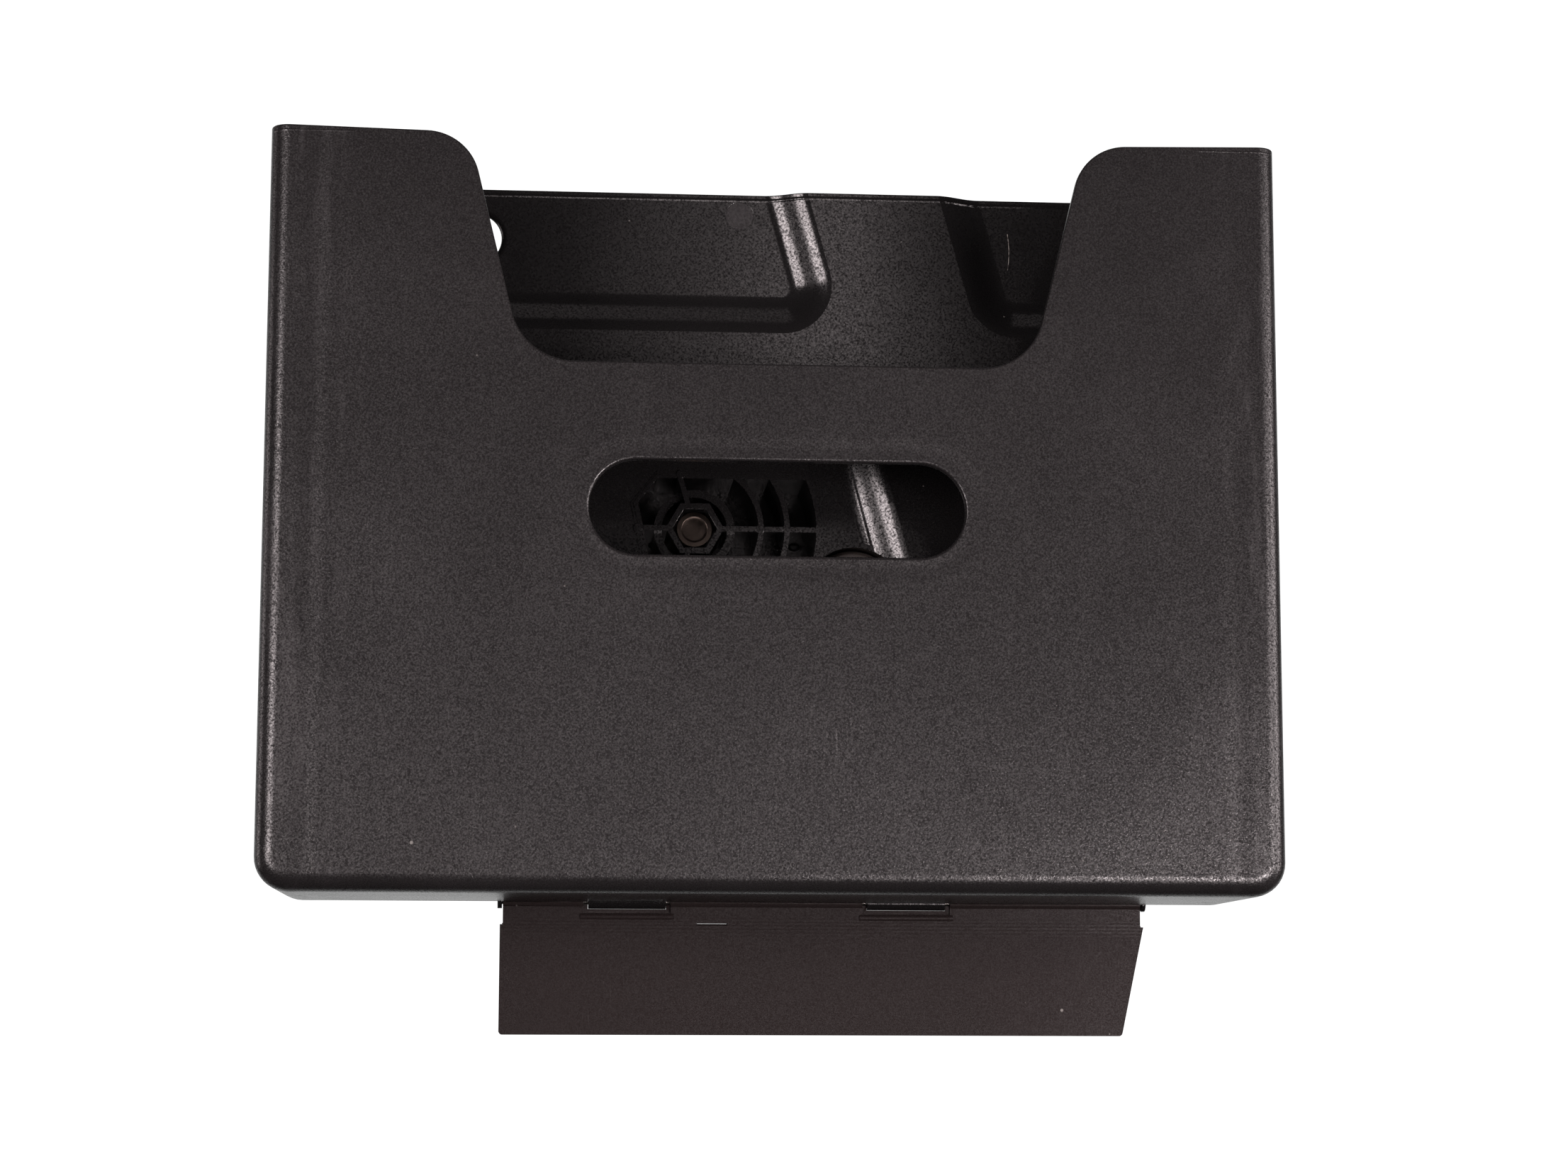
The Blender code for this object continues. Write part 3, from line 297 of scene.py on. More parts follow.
def settle(piece):
    """Puts a mesh's parts in an order taken from their places, for cuts that leave them in any order."""
    def corners(part):
        return sorted(vert.index for vert in part.verts)

    bm = bmesh.new()
    bm.from_mesh(piece.data)
    for parts, key in ((bm.verts, lambda vert: vert.co[:]), (bm.edges, corners), (bm.faces, corners)):
        for rank, part in enumerate(sorted(parts, key=key)):
            part.index = rank
        parts.sort()
    bm.to_mesh(piece.data)
    bm.free()
    return piece


def edge_groups(edges):
    """Sharp edges in groups that hang together, so that each can be rounded as far as it allows.

    The groups come in the order of the edges, so that every run rounds them in the same order.
    """
    waiting, groups = set(edges), []
    for first in edges:
        if first not in waiting:
            continue
        waiting.discard(first)
        group, front = [first], [first]
        while front:
            for vert in front.pop().verts:
                for edge in vert.link_edges:
                    if edge in waiting:
                        waiting.discard(edge)
                        group.append(edge)
                        front.append(edge)
        groups.append(group)
    return groups


def soften(piece, width, segments=2, angle=32.0):
    """Rounds every edge sharper than the angle by up to width millimetres, and smooths the shading."""
    bm = bmesh.new()
    bm.from_mesh(piece.data)
    bmesh.ops.remove_doubles(bm, verts=bm.verts, dist=SLIVER * MM)
    bmesh.ops.dissolve_degenerate(bm, edges=bm.edges, dist=SLIVER * MM)
    bmesh.ops.dissolve_limit(bm, angle_limit=math.radians(0.4), verts=bm.verts, edges=bm.edges)
    number = bm.edges.layers.int.new("group")
    sharp = [e for e in bm.edges if len(e.link_faces) == 2 and e.calc_face_angle() > math.radians(angle)]
    if width > 0:
        groups = edge_groups(sharp)
        for i, group in enumerate(groups):
            for edge in group:
                edge[number] = i + 1
        for i in range(len(groups)):
            group = [e for e in bm.edges if e[number] == i + 1]
            bmesh.ops.bevel(
                bm, geom=group, offset=width * MM, offset_type="OFFSET", segments=segments,
                profile=0.5, affect="EDGES", clamp_overlap=True,
            )
            for edge in bm.edges:
                if edge[number] == i + 1:
                    edge[number] = 0
    bm.to_mesh(piece.data)
    bm.free()
    piece.data.shade_smooth()
    piece.data.set_sharp_from_angle(angle=math.radians(angle + 12.0))
    even = piece.modifiers.new("even_normals", "WEIGHTED_NORMAL")
    even.keep_sharp = True
    return piece


def shaped(name, start, steps, width, segments=2, angle=32.0):
    """A piece from its first solid and the cuts and joins after it, with its edges rounded."""
    return soften(carve(solid(name, start), steps), width, segments, angle)


CUT, JOIN, KEEP = "DIFFERENCE", "UNION", "INTERSECT"


# ------------------------------------------------------------------------- shell
def tub(inset, front, rear, fillet, steps=10):
    """The shell's outer or inner form: a box with a filleted front edge and rounded lower corners."""
    half = SHELL_WIDTH / 2 - inset
    corner = BOTTOM_CORNER - inset
    top = SHELL_HEIGHT + OVERRUN
    levels = []
    for i in range(steps + 1):
        angle = math.pi / 2 * i / steps
        levels.append((fillet * (1 - math.sin(angle)), front + fillet * (1 - math.cos(angle))))
    levels.append((0.0, rear))
    loops = []
    for shrink, y in levels:
        side, low, radius = half - shrink, inset + shrink, corner - shrink
        outline = rounded([(-side, low), (side, low), (side, top), (-side, top)], [radius, radius, 0, 0], 10)
        loops.append([(x, y, z) for x, z in outline])
    return loft(loops)


def u_cut_outline():
    """The front cut-out, with its convex top corners running out into the lobes' sloping tops."""
    top = SHELL_HEIGHT
    lobe_outer = SHELL_WIDTH / 2 + OVERRUN
    lobe_drop = TOP_SLOPE * (SHELL_WIDTH / 2 - U_HALF_TOP)
    floor_half = U_HALF_TOP - U_SIDE_SLOPE * (top - U_FLOOR)
    right = [
        (floor_half, U_FLOOR),
        (U_HALF_TOP - U_SIDE_SLOPE * lobe_drop, top - lobe_drop),
        (SHELL_WIDTH / 2, top),
        (lobe_outer, top + TOP_SLOPE * OVERRUN),
        (lobe_outer, top + OVERRUN),
    ]
    left = [(-x, z) for x, z in reversed(right)]
    radii = [U_FLOOR_RADIUS, U_TOP_RADIUS, 0, 0, 0]
    return rounded(right + left, radii + radii[::-1], 16)


def slot_outline(grow=0.0):
    """The finger slot: a stadium lying on its side."""
    radius = SLOT_HEIGHT / 2 + grow
    reach = (SLOT_LENGTH - SLOT_HEIGHT) / 2
    return arc((reach, SLOT_Z), radius, -90.0, 90.0, 28) + arc((-reach, SLOT_Z), radius, 90.0, 270.0, 28)


def slot_lead():
    """The cutter that rounds the slot's front edge."""
    levels = [(SLOT_LEAD, -SLOT_LEAD), (SLOT_LEAD, 0.0)]
    for i in range(1, 6):
        angle = math.radians(90.0 * i / 6)
        levels.append((SLOT_LEAD * (1 - math.sin(angle)), SLOT_LEAD * (1 - math.cos(angle))))
    levels.append((-2.0 * SLOT_LEAD, SLOT_LEAD))
    return loft([[(x, y, z) for x, z in slot_outline(grow)] for grow, y in levels])


def screw_places():
    """The six screws' places, lower left first."""
    return [(side * SCREW_X, z) for side in (-1, 1) for z in SCREW_HEIGHTS]


def front_shell():
    steps = [(CUT, tub(WALL, WALL, SHELL_DEPTH + OVERRUN, FRONT_FILLET - WALL))]
    boss_rear = PANEL_FRONT - GAP
    for x, z in screw_places():
        outer = math.copysign(SHELL_WIDTH / 2 - WALL / 2, x)
        web = box_outline(min(x, outer), z - SCREW_BOSS, max(x, outer), z + SCREW_BOSS)
        steps.append((JOIN, prism(web, BOSS_FRONT + 1.0, boss_rear)))
        steps.append((JOIN, rod((x, z), SCREW_BOSS, BOSS_FRONT, boss_rear)))
        steps.append((CUT, rod((x, z), SCREW_RADIUS + GAP, SCREW_HOLE_FRONT, PANEL_FRONT + OVERRUN)))
    steps.append((CUT, prism(u_cut_outline(), -OVERRUN, SHELL_DEPTH + OVERRUN)))
    steps.append((CUT, prism(slot_outline(), -OVERRUN, 4 * WALL)))
    steps.append((CUT, slot_lead()))
    return shaped("shell_skin", tub(0.0, 0.0, SHELL_DEPTH, FRONT_FILLET), steps, 0.6, 3)


# -------------------------------------------------------------------- back plate
def panel_corner(side, level, inset):
    """One recessed panel's outline: side is -1 or 1 for left or right, level -1 or 1 for below or above."""
    lean = Vector((1.0, SLANT)).normalized()
    reach = SHELL_WIDTH
    radius = STEP_CORNER - inset
    edge_z = BAND_Z + level * (BAND_HALF - STEP_RUN / 2)
    half = (SLANT_HALF - STEP_RUN / (2 * lean.x)) * side

    def slanted(z, offset):
        return SLANT_X_AT_TOP + SLANT * (PLATE_TOP - z) + half + side * offset / lean.x

    centre_z = edge_z + level * STEP_CORNER
    centre = (slanted(centre_z, STEP_CORNER), centre_z)
    tilt = math.degrees(math.atan(SLANT))
    level_side = -90.0 * level
    slant_side = tilt if side < 0 else 180.0 + tilt
    turn = (slant_side - level_side + 180.0) % 360.0 - 180.0
    curve = arc(centre, radius, level_side, level_side + turn, 20)
    far_z = BAND_Z + level * reach
    outer = centre[0] + side * 2 * reach
    return [(outer, edge_z + level * inset)] + curve + [(slanted(far_z, inset), far_z), (outer, far_z)]


def panel(side, level, shift, steps=18):
    """A recessed panel as a solid: its outline shrinks along an S-shaped step from the cross to the panel."""
    rise = PANEL_FRONT - BAND_FRONT
    sections = [(0.0, BAND_FRONT - STEP_LEAD + shift)]
    for i in range(1, steps + 1):
        t = i / steps
        sections.append((STEP_RUN * t, BAND_FRONT + rise * (1 - math.cos(math.pi * t)) / 2 + shift))
    return loft([[(x, y, z) for x, z in panel_corner(side, level, inset)] for inset, y in sections])


def plate_outline():
    """The back plate's edge, which clears the inside of the shell."""
    half, low = SHELL_WIDTH / 2 - WALL - GAP, WALL + GAP
    corner = BOTTOM_CORNER - WALL - GAP
    corners = [(-half, low), (half, low), (half, PLATE_TOP), (-half, PLATE_TOP)]
    return rounded(corners, [corner, corner, 1.5, 1.5], 8)


def block_outline(grow=0.0):
    """The ribbed block about the bolt: straight on the left, and on the right an arc about the bolt."""
    radius, half = BLOCK_RADIUS + grow, BLOCK_HALF + grow
    angle = math.degrees(math.asin(half / radius))
    left = [(BLOCK_TOP_LEFT, half)]
    left += [(x - grow, z) for x, z in BLOCK_LEFT]
    left.append((BLOCK_BOTTOM_LEFT - grow, -half))
    return arc(BOLT_AXIS, radius, -angle, angle, 16) + [(BOLT_X + x, BOLT_Z + z) for x, z in left]


def ring(inner, outer, y0, y1):
    """A tube about the bolt's axis."""
    return hoop([(inner, y0), (outer, y0), (outer, y1), (inner, y1)], BOLT_AXIS, 2 * FINE_ROUND)


def pocket_core():
    """The space cored out of the ribbed block from the front: the block's outline less its ribs and posts."""
    rim = PANEL_FRONT - RIM_RISE
    reach = BLOCK_RADIUS + OVERRUN
    low, high = rim - 2 * OVERRUN, POCKET_FLOOR + OVERRUN
    level_rib = box_outline(BOLT_X - reach, BOLT_Z - RIB / 2, BOLT_X + reach, BOLT_Z + RIB / 2)
    steps = [(CUT, prism(level_rib, low, high))]
    run = UPRIGHT_LEAN * reach
    upright = [(-RIB / 2, 0.0), (RIB / 2, 0.0), (RIB / 2 - run, reach), (-RIB / 2 - run, reach)]
    for side in (1, -1):
        steps.append((CUT, prism([(BOLT_X + x, BOLT_Z + side * z) for x, z in upright], low, high)))
    for radius in RIB_RADII:
        steps.append((CUT, ring(radius - RIB / 2, radius + RIB / 2, low, high)))
    steps.append((CUT, ring(RING_INNER, RING_OUTER, PANEL_FRONT + RING_DROP, high)))
    steps.append((CUT, prism(hexagon(BOLT_AXIS, HEX_POST), low, high)))
    core = carve(solid("pocket_core", prism(block_outline(), rim - OVERRUN, POCKET_FLOOR)), steps)
    bm = bmesh.new()
    bm.from_mesh(core.data)
    bpy.data.objects.remove(core)
    to_drawing = Matrix.Translation(ORIGIN) @ Matrix.Scale(1 / MM, 4)
    bmesh.ops.transform(bm, matrix=to_drawing, verts=bm.verts)
    return bm


def bolt_hole(y0, y1):
    return rod(BOLT_AXIS, BOLT_RADIUS + GAP + 2 * NUDGE, y0, y1)


def knuckle_profile():
    """A knuckle of the plate in Y and Z: an arm behind the shell's lower edge, ending round the hinge pin."""
    lowest = arc(HINGE_AXIS, KNUCKLE_RADIUS, 0.0, -180.0, 16)
    clear = SHELL_DEPTH + GAP + 2 * NUDGE
    arm_front, arm_rear = PANEL_FRONT + 0.6, PANEL_FRONT + SHEET + 0.8
    inner = [(clear, WALL + GAP), (arm_front, WALL + GAP), (arm_front, KNUCKLE_TOP)]
    return [(HINGE_Y + KNUCKLE_RADIUS, KNUCKLE_SHOULDER)] + lowest + inner + [(arm_rear, KNUCKLE_TOP)]


def plug_seat():
    """The stepped round hole that takes the blanking plug."""
    wide, narrow = PLUG_RADIUS + GAP, PLUG_RADIUS - PLUG_SHOULDER
    profile = [(wide, BAND_FRONT - OVERRUN), (wide, PLUG_SEAT)]
    profile += [(narrow, PLUG_SEAT + NUDGE), (narrow, PLUG_BOSS_REAR + OVERRUN)]
    return turned(profile, PLUG_AXIS, FINE_ROUND)


def hang_hole():
    """The hanging hole with its countersink."""
    wide = HANG_RADIUS + HANG_RIM
    profile = [(wide, BAND_FRONT), (wide, PANEL_FRONT), (HANG_RADIUS, PANEL_FRONT + 1.0)]
    profile.append((HANG_RADIUS, PANEL_FRONT + OVERRUN))
    return turned(profile, HANG_HOLE, FINE_ROUND)


def back_plate():
    rim = PANEL_FRONT - RIM_RISE
    slab = box_outline(-SHELL_WIDTH, -OVERRUN, SHELL_WIDTH, SHELL_HEIGHT + OVERRUN)
    quarters = [(side, level) for side in (-1, 1) for level in (-1, 1)]
    steps = [(JOIN, panel(side, level, SHEET)) for side, level in quarters]
    steps.append((KEEP, prism(plate_outline(), 0.0, 2 * SHELL_DEPTH)))
    steps += [(CUT, panel(side, level, 0.0)) for side, level in quarters]
    steps.append((JOIN, prism(block_outline(BLOCK_WALL + BLOCK_HEM), rim + RIM_RISE / 2, BLOCK_REAR)))
    steps.append((JOIN, prism(block_outline(BLOCK_WALL), rim, BLOCK_REAR)))
    steps.append((JOIN, turned([(PLUG_RIM, rim), (PLUG_RIM, PLUG_BOSS_REAR)], PLUG_AXIS, FINE_ROUND)))
    for x0, x1 in KNUCKLES:
        steps.append((JOIN, prism_x(knuckle_profile(), x0, x1)))
    for x0 in (FLAP_LEFT - CHEEK_LAP, FLAP_RIGHT + CHEEK_LAP - CHEEK):
        steps.append((JOIN, prism_x(knuckle_profile(), x0, x0 + CHEEK)))
    steps.append((CUT, pocket_core()))
    for x, z in PIN_MARKS:
        steps.append((JOIN, rod((BOLT_X + x, BOLT_Z + z), PIN_MARK_RADIUS, rim - PIN_MARK_RISE, rim + 1.0)))
    socket = prism(hexagon(BOLT_AXIS, HEX_SOCKET), rim - OVERRUN, PANEL_FRONT + SOCKET_DEPTH)
    steps.append((CUT, socket))
    steps.append((CUT, bolt_hole(PANEL_FRONT, BLOCK_REAR + OVERRUN)))
    for x in PEG_PLACES:
        steps.append((CUT, rod((x, BOLT_Z), PEG_RADIUS + GAP, PEG_HOLE_FRONT, BLOCK_REAR + OVERRUN)))
    steps.append((CUT, plug_seat()))
    steps.append((CUT, hang_hole()))
    mark = rod(EJECTOR_MARK, EJECTOR_RADIUS, PANEL_FRONT - 1.0, PANEL_FRONT + EJECTOR_DEPTH, FINE_ROUND)
    steps.append((CUT, mark))
    for x, z in screw_places():
        hole = rod((x, z), SCREW_RADIUS + 2 * GAP, BAND_FRONT - OVERRUN, PANEL_FRONT + OVERRUN)
        steps.append((CUT, hole))
    pin_hole = circle(HINGE_AXIS, PIN_RADIUS + GAP, SMALL_ROUND)
    steps.append((CUT, prism_x(pin_hole, FLAP_LEFT - OVERRUN, FLAP_RIGHT + OVERRUN)))
    return shaped("plate_skin", prism(slab, BAND_FRONT, BAND_FRONT + SHEET), steps, 0.75, 3, 30.0)


def blanking_plug():
    """The round plug, with a shallow dish turned into its face."""
    head = [(PLUG_RADIUS - 1.0, PLUG_FRONT), (PLUG_RADIUS, PLUG_FRONT + 0.8), (PLUG_RADIUS, PLUG_SEAT - GAP)]
    stem_radius = PLUG_RADIUS - PLUG_SHOULDER - GAP
    stem = [(stem_radius, PLUG_SEAT - 1.0), (stem_radius, PLUG_BOSS_REAR + 0.6)]
    dish = [(PLUG_DISH, PLUG_FRONT - 1.0), (PLUG_DISH, PLUG_FRONT + 0.3), (PLUG_DISH - 0.7, PLUG_FRONT + 0.5)]
    steps = [(JOIN, turned(stem, PLUG_AXIS, FINE_ROUND)), (CUT, turned(dish, PLUG_AXIS, FINE_ROUND))]
    return shaped("plug_skin", turned(head, PLUG_AXIS, FINE_ROUND), steps, 0.25)


# --------------------------------------------------------------------- fasteners
def thread(name, place, root, crest, y0, y1, pitch, start_chamfer):
    """A round bar with a helical thread along Y; the crest tapers in over start_chamfer at y1."""
    rows, sides = int(abs(y1 - y0) / pitch * 8), 32
    sections = []
    for k in range(rows + 1):
        y = y0 + (y1 - y0) * k / rows
        limit = root + (crest - root) * min(1.0, abs(y1 - y) / start_chamfer)
        loop = []
        for i in range(sides):
            angle = 2 * math.pi * i / sides
            phase = (i / sides + (y - y0) / pitch) % 1.0
            height = 1 - abs(2 * phase - 1)
            radius = min(root + (crest - root) * min(1.0, 1.35 * height), limit)
            loop.append((place[0] + radius * math.cos(angle), y, place[1] + radius * math.sin(angle)))
        sections.append(loop)
    return solid(name, loft(sections))


def joined(piece, other):
    """Moves another object's mesh into the piece's, without welding them."""
    bm = bmesh.new()
    for one in (piece, other):
        bm.from_mesh(one.data)
    bm.to_mesh(piece.data)
    bm.free()
    bpy.data.objects.remove(other)
    piece.data.shade_smooth()
    piece.data.set_sharp_from_angle(angle=math.radians(38))
    return piece


def clamp_bolt():
    """A hexagon-head bolt: chamfered head with a turned washer face, plain shank and a real thread."""
    under = BOLT_FRONT + 0.2 + BOLT_HEAD_HEIGHT
    head = BOLT_FRONT
    flat = BOLT_HEAD_FLATS / 2
    chamfer = [(flat - 0.4, head - 0.2), (flat + 1.5, head + 0.9), (flat + 1.5, under + 1.0)]
    dish = [(flat - 1.5, head - 1.0), (flat - 1.5, head + 0.12), (flat - 2.4, head + 0.22)]
    shank = [(BOLT_RADIUS, under - 1.0), (BOLT_RADIUS, under + BOLT_PLAIN)]
    steps = [
        (KEEP, turned(chamfer, BOLT_AXIS, FINE_ROUND)),
        (CUT, turned(dish, BOLT_AXIS, FINE_ROUND)),
        (JOIN, turned(shank, BOLT_AXIS, SMALL_ROUND)),
    ]
    blank = prism(hexagon(BOLT_AXIS, BOLT_HEAD_FLATS), head, under)
    bolt = shaped("bolt_skin", blank, steps, 0.18, angle=20.0)
    start = under + BOLT_PLAIN - 0.5
    screw = thread("bolt_thread", BOLT_AXIS, BOLT_ROOT, BOLT_RADIUS, start, BOLT_TIP, BOLT_PITCH, 0.9)
    return joined(bolt, screw)


def shell_screw(index, place):
    """A pan-head self-tapping screw, driven from the rear through the plate into the shell's boss."""
    head_y = PANEL_FRONT + SHEET + GAP
    neck = SCREW_RADIUS - 0.1
    profile = [(neck, head_y - 1.0), (neck, head_y)]
    profile += [(SCREW_HEAD_RADIUS, head_y), (SCREW_HEAD_RADIUS, head_y + 0.6)]
    for a in (0, 20, 40, 60, 75):
        angle = math.radians(a)
        profile.append((SCREW_HEAD_RADIUS * math.cos(angle), head_y + 0.9 + 1.5 * math.sin(angle)))
    long, short = SCREW_SLOT_HALF, SCREW_SLOT_HALF_WIDTH
    x, z = place
    steps = []
    for k, (across, up) in enumerate(((long, short), (short, long))):
        blade = box_outline(x - across, z - up, x + across, z + up)
        steps.append((CUT, prism(blade, head_y + 1.1 + k * NUDGE, head_y + OVERRUN)))
    screw = shaped(f"screw_skin_{index}", turned(profile, place, SMALL_ROUND), steps, 0.1, angle=30.0)
    spiral = thread(
        f"screw_thread_{index}", place, SCREW_RADIUS - SCREW_THREAD, SCREW_RADIUS,
        head_y - 0.5, SCREW_TIP, SCREW_PITCH, 2.5,
    )
    return joined(screw, spiral)


def guide_pin(name, side):
    """A ground pin with a domed end."""
    place = (BOLT_X, BOLT_Z + side * GUIDE_OFFSET)
    profile = [(GUIDE_RADIUS - 0.3, GUIDE_SEAT + GAP), (GUIDE_RADIUS, GUIDE_SEAT + GAP + 0.3)]
    for a in (0, 25, 50, 70, 85):
        angle = math.radians(a)
        radius = GUIDE_RADIUS * (0.7 + 0.3 * math.cos(angle))
        profile.append((radius, GUIDE_END - 0.7 + 0.7 * math.sin(angle)))
    return soften(solid(name, turned(profile, place, SMALL_ROUND)), 0.0)


def hinge_pin():
    """The hinge pin, with its ends rounded over."""
    ends = [(0.5, 0.0), (0.85, 0.15), (1.0, 0.45)]
    levels = [(size, PIN_LEFT + inset) for size, inset in ends]
    levels += [(size, PIN_RIGHT - inset) for size, inset in reversed(ends)]
    sections = []
    for size, x in levels:
        sections.append([(x, y, z) for y, z in circle(HINGE_AXIS, PIN_RADIUS * size, SMALL_ROUND)])
    return soften(solid("pin_skin", loft(sections)), 0.0)


def clamp_washer():
    y0 = JAW_HIGH.y + GAP
    disc = rod(BOLT_AXIS, WASHER_RADIUS, y0, y0 + WASHER_THICK, FINE_ROUND)
    hole = rod(BOLT_AXIS, BOLT_RADIUS + GAP, y0 - OVERRUN, y0 + OVERRUN)
    return shaped("washer_skin", disc, [(CUT, hole)], 0.2)


# ------------------------------------------------------------------ hinged skirt
def flap_outline():
    """The skirt seen from the front: a narrower neck under the barrel, and a right edge that leans in."""
    neck_left, neck_right = FLAP_LEFT + NECK_LEFT_STEP, FLAP_RIGHT - NECK_RIGHT_STEP
    corners = [
        (FLAP_LEFT, FLAP_BOTTOM), (FLAP_RIGHT - FLAP_SLANT, FLAP_BOTTOM), (FLAP_RIGHT, FLAP_SHOULDER),
        (neck_right, FLAP_SHOULDER), (neck_right, HINGE_Z), (neck_left, HINGE_Z),
        (neck_left, FLAP_SHOULDER), (FLAP_LEFT, FLAP_SHOULDER),
    ]
    return rounded(corners, [FLAP_CORNER, FLAP_CORNER, 0, 0, 0, 0, 0, 0], 8)


def rib_between(start, end, thick, y0, y1):
    """A straight rib from one point to another on the skirt's rear."""
    run = Vector(end) - Vector(start)
    aside = Vector((-run.y, run.x)).normalized() * thick / 2
    points = [Vector(start) - aside, Vector(end) - aside, Vector(end) + aside, Vector(start) + aside]
    return prism([tuple(p) for p in points], y0, y1)


def truss(rear):
    """The zigzag of ribs on the skirt's rear, and the rim around it."""
    front, top = rear - 0.7, rear + FLAP_RIB_HEIGHT
    ribs = []
    for i in range(TRUSS_BAYS):
        left = FLAP_LEFT + TRUSS_SIDE + TRUSS_BAY * i
        peak = (left + TRUSS_BAY / 2, TRUSS_LOW)
        ribs.append(rib_between((left, TRUSS_HIGH), peak, TRUSS_RIB, front, top))
        ribs.append(rib_between(peak, (left + TRUSS_BAY, TRUSS_HIGH), TRUSS_RIB, front, top - NUDGE))
    low_left, low_right, high_right = FLAP_LEFT + 0.7, FLAP_RIGHT - FLAP_SLANT - 0.5, FLAP_RIGHT - 0.6
    lines = [
        ((low_left, TRUSS_LOW), (low_right, TRUSS_LOW)),
        ((low_left, TRUSS_HIGH), (high_right, TRUSS_HIGH)),
        ((low_left + 0.5, TRUSS_LOW - 0.4), (low_left + 0.5, TRUSS_HIGH + 0.4)),
        ((low_right - 0.5, TRUSS_LOW - 0.4), (high_right - 0.8, TRUSS_HIGH + 0.4)),
    ]
    for k, (start, end) in enumerate(lines):
        ribs.append(rib_between(start, end, RIM_RIB, front - 2 * NUDGE, top - 2 * NUDGE * k))
    return ribs


def bottom_flap():
    rear = FLAP_FACE + FLAP_SHEET
    front_clear, rear_clear = FLAP_FACE - OVERRUN, rear + OVERRUN
    barrel = circle(HINGE_AXIS, BARREL, FINE_ROUND)
    steps = [(JOIN, prism_x(barrel, FLAP_LEFT + NECK_LEFT_STEP, FLAP_RIGHT - NECK_RIGHT_STEP))]
    above = HINGE_Z + OVERRUN
    shallow = box_outline(front_clear, LIP_Z + LIP_RADIUS, WEB_FRONT, above)
    clear = circle(HINGE_AXIS, KNUCKLE_RADIUS + KNUCKLE_CLEARANCE, FINE_ROUND)
    through = box_outline(front_clear, HINGE_Z, rear_clear, above)
    for x0, x1 in KNUCKLES:
        left, right = x0 - NOTCH_SIDE, x1 + NOTCH_SIDE
        lip = circle((FLAP_FACE + LIP_SET_BACK, LIP_Z), LIP_RADIUS, SMALL_ROUND)
        steps.append((JOIN, prism_x(lip, left - 1.0, right + 1.0)))
        steps.append((CUT, prism_x(shallow, left, right)))
        steps.append((CUT, prism_x(clear, x0 - KNUCKLE_SIDE_GAP, x1 + KNUCKLE_SIDE_GAP)))
        steps.append((CUT, prism_x(through, x0 - KNUCKLE_SIDE_GAP, x1 + KNUCKLE_SIDE_GAP)))
    steps.append((CUT, prism(box_outline(*SLIT), front_clear, rear_clear)))
    flap = shaped("flap_skin", prism(flap_outline(), FLAP_FACE, rear), steps, 0.35, angle=36.0)
    pin_hole = circle(HINGE_AXIS, PIN_RADIUS + GAP, SMALL_ROUND)
    ribs = [(JOIN, rib) for rib in truss(rear)]
    ribs.append((CUT, prism_x(pin_hole, FLAP_LEFT - OVERRUN, FLAP_RIGHT + OVERRUN)))
    return soften(settle(carve(flap, ribs)), 0.0, angle=36.0)


# -------------------------------------------------------------------- pole clamp
def clamp_outline():
    """The saddle and the jaw seen from behind."""
    return box_outline(SADDLE_LOW.x, SADDLE_LOW.z, SADDLE_HIGH.x, SADDLE_HIGH.z, CLAMP_CORNER, 12)


def seat_groove(floor, mouth):
    """The cutter of the trapezoid groove for the pole, from its mouth down to its floor."""
    wide = SEAT_FLOOR_HALF + abs(floor - mouth)
    profile = [(POLE_X - wide, mouth), (POLE_X - SEAT_FLOOR_HALF, floor)]
    profile += [(POLE_X + SEAT_FLOOR_HALF, floor), (POLE_X + wide, mouth)]
    return prism_z(profile, SADDLE_LOW.z - OVERRUN, SADDLE_HIGH.z + OVERRUN)


def guide_hole(side, y0, y1):
    return rod((BOLT_X, BOLT_Z + side * GUIDE_OFFSET), GUIDE_RADIUS + GAP, y0, y1)


def clamp_saddle():
    front, rear = BLOCK_REAR + GAP, SADDLE_HIGH.y
    steps = []
    for x in PEG_PLACES:
        steps.append((JOIN, rod((x, BOLT_Z), PEG_RADIUS, PEG_FRONT, front + 1.0)))
    steps.append((CUT, seat_groove(rear - SEAT_DEPTH, rear + 1.0)))
    steps.append((CUT, bolt_hole(front - OVERRUN, rear + OVERRUN)))
    steps += [(CUT, guide_hole(side, GUIDE_SEAT, rear + OVERRUN)) for side in (-1, 1)]
    return shaped("saddle_skin", prism(clamp_outline(), front, rear), steps, 0.8, 3)


def clamp_jaw():
    """The sliding jaw, with its heel and shallow relief pockets in its rear."""
    front, rear = JAW_FRONT, JAW_HIGH.y
    start, end = SADDLE_LOW.x + HEEL_START, SADDLE_LOW.x + HEEL_END
    heel = box_outline(start, BOLT_Z - HEEL_HALF, end, BOLT_Z + HEEL_HALF, 2.0)
    steps = [(JOIN, prism(heel, SADDLE_HIGH.y + GAP, front + 2.0))]
    steps.append((CUT, seat_groove(front + SEAT_DEPTH, front - 1.0)))
    steps.append((CUT, bolt_hole(front - OVERRUN, rear + OVERRUN)))
    steps += [(CUT, guide_hole(side, front - OVERRUN, rear + OVERRUN)) for side in (-1, 1)]
    pocket = box_outline(*JAW_POCKET, JAW_POCKET_CORNER)
    steps.append((CUT, prism(pocket, rear - JAW_POCKET_DEPTH, rear + OVERRUN)))
    return shaped("jaw_skin", prism(clamp_outline(), front, rear), steps, 0.7, 3)


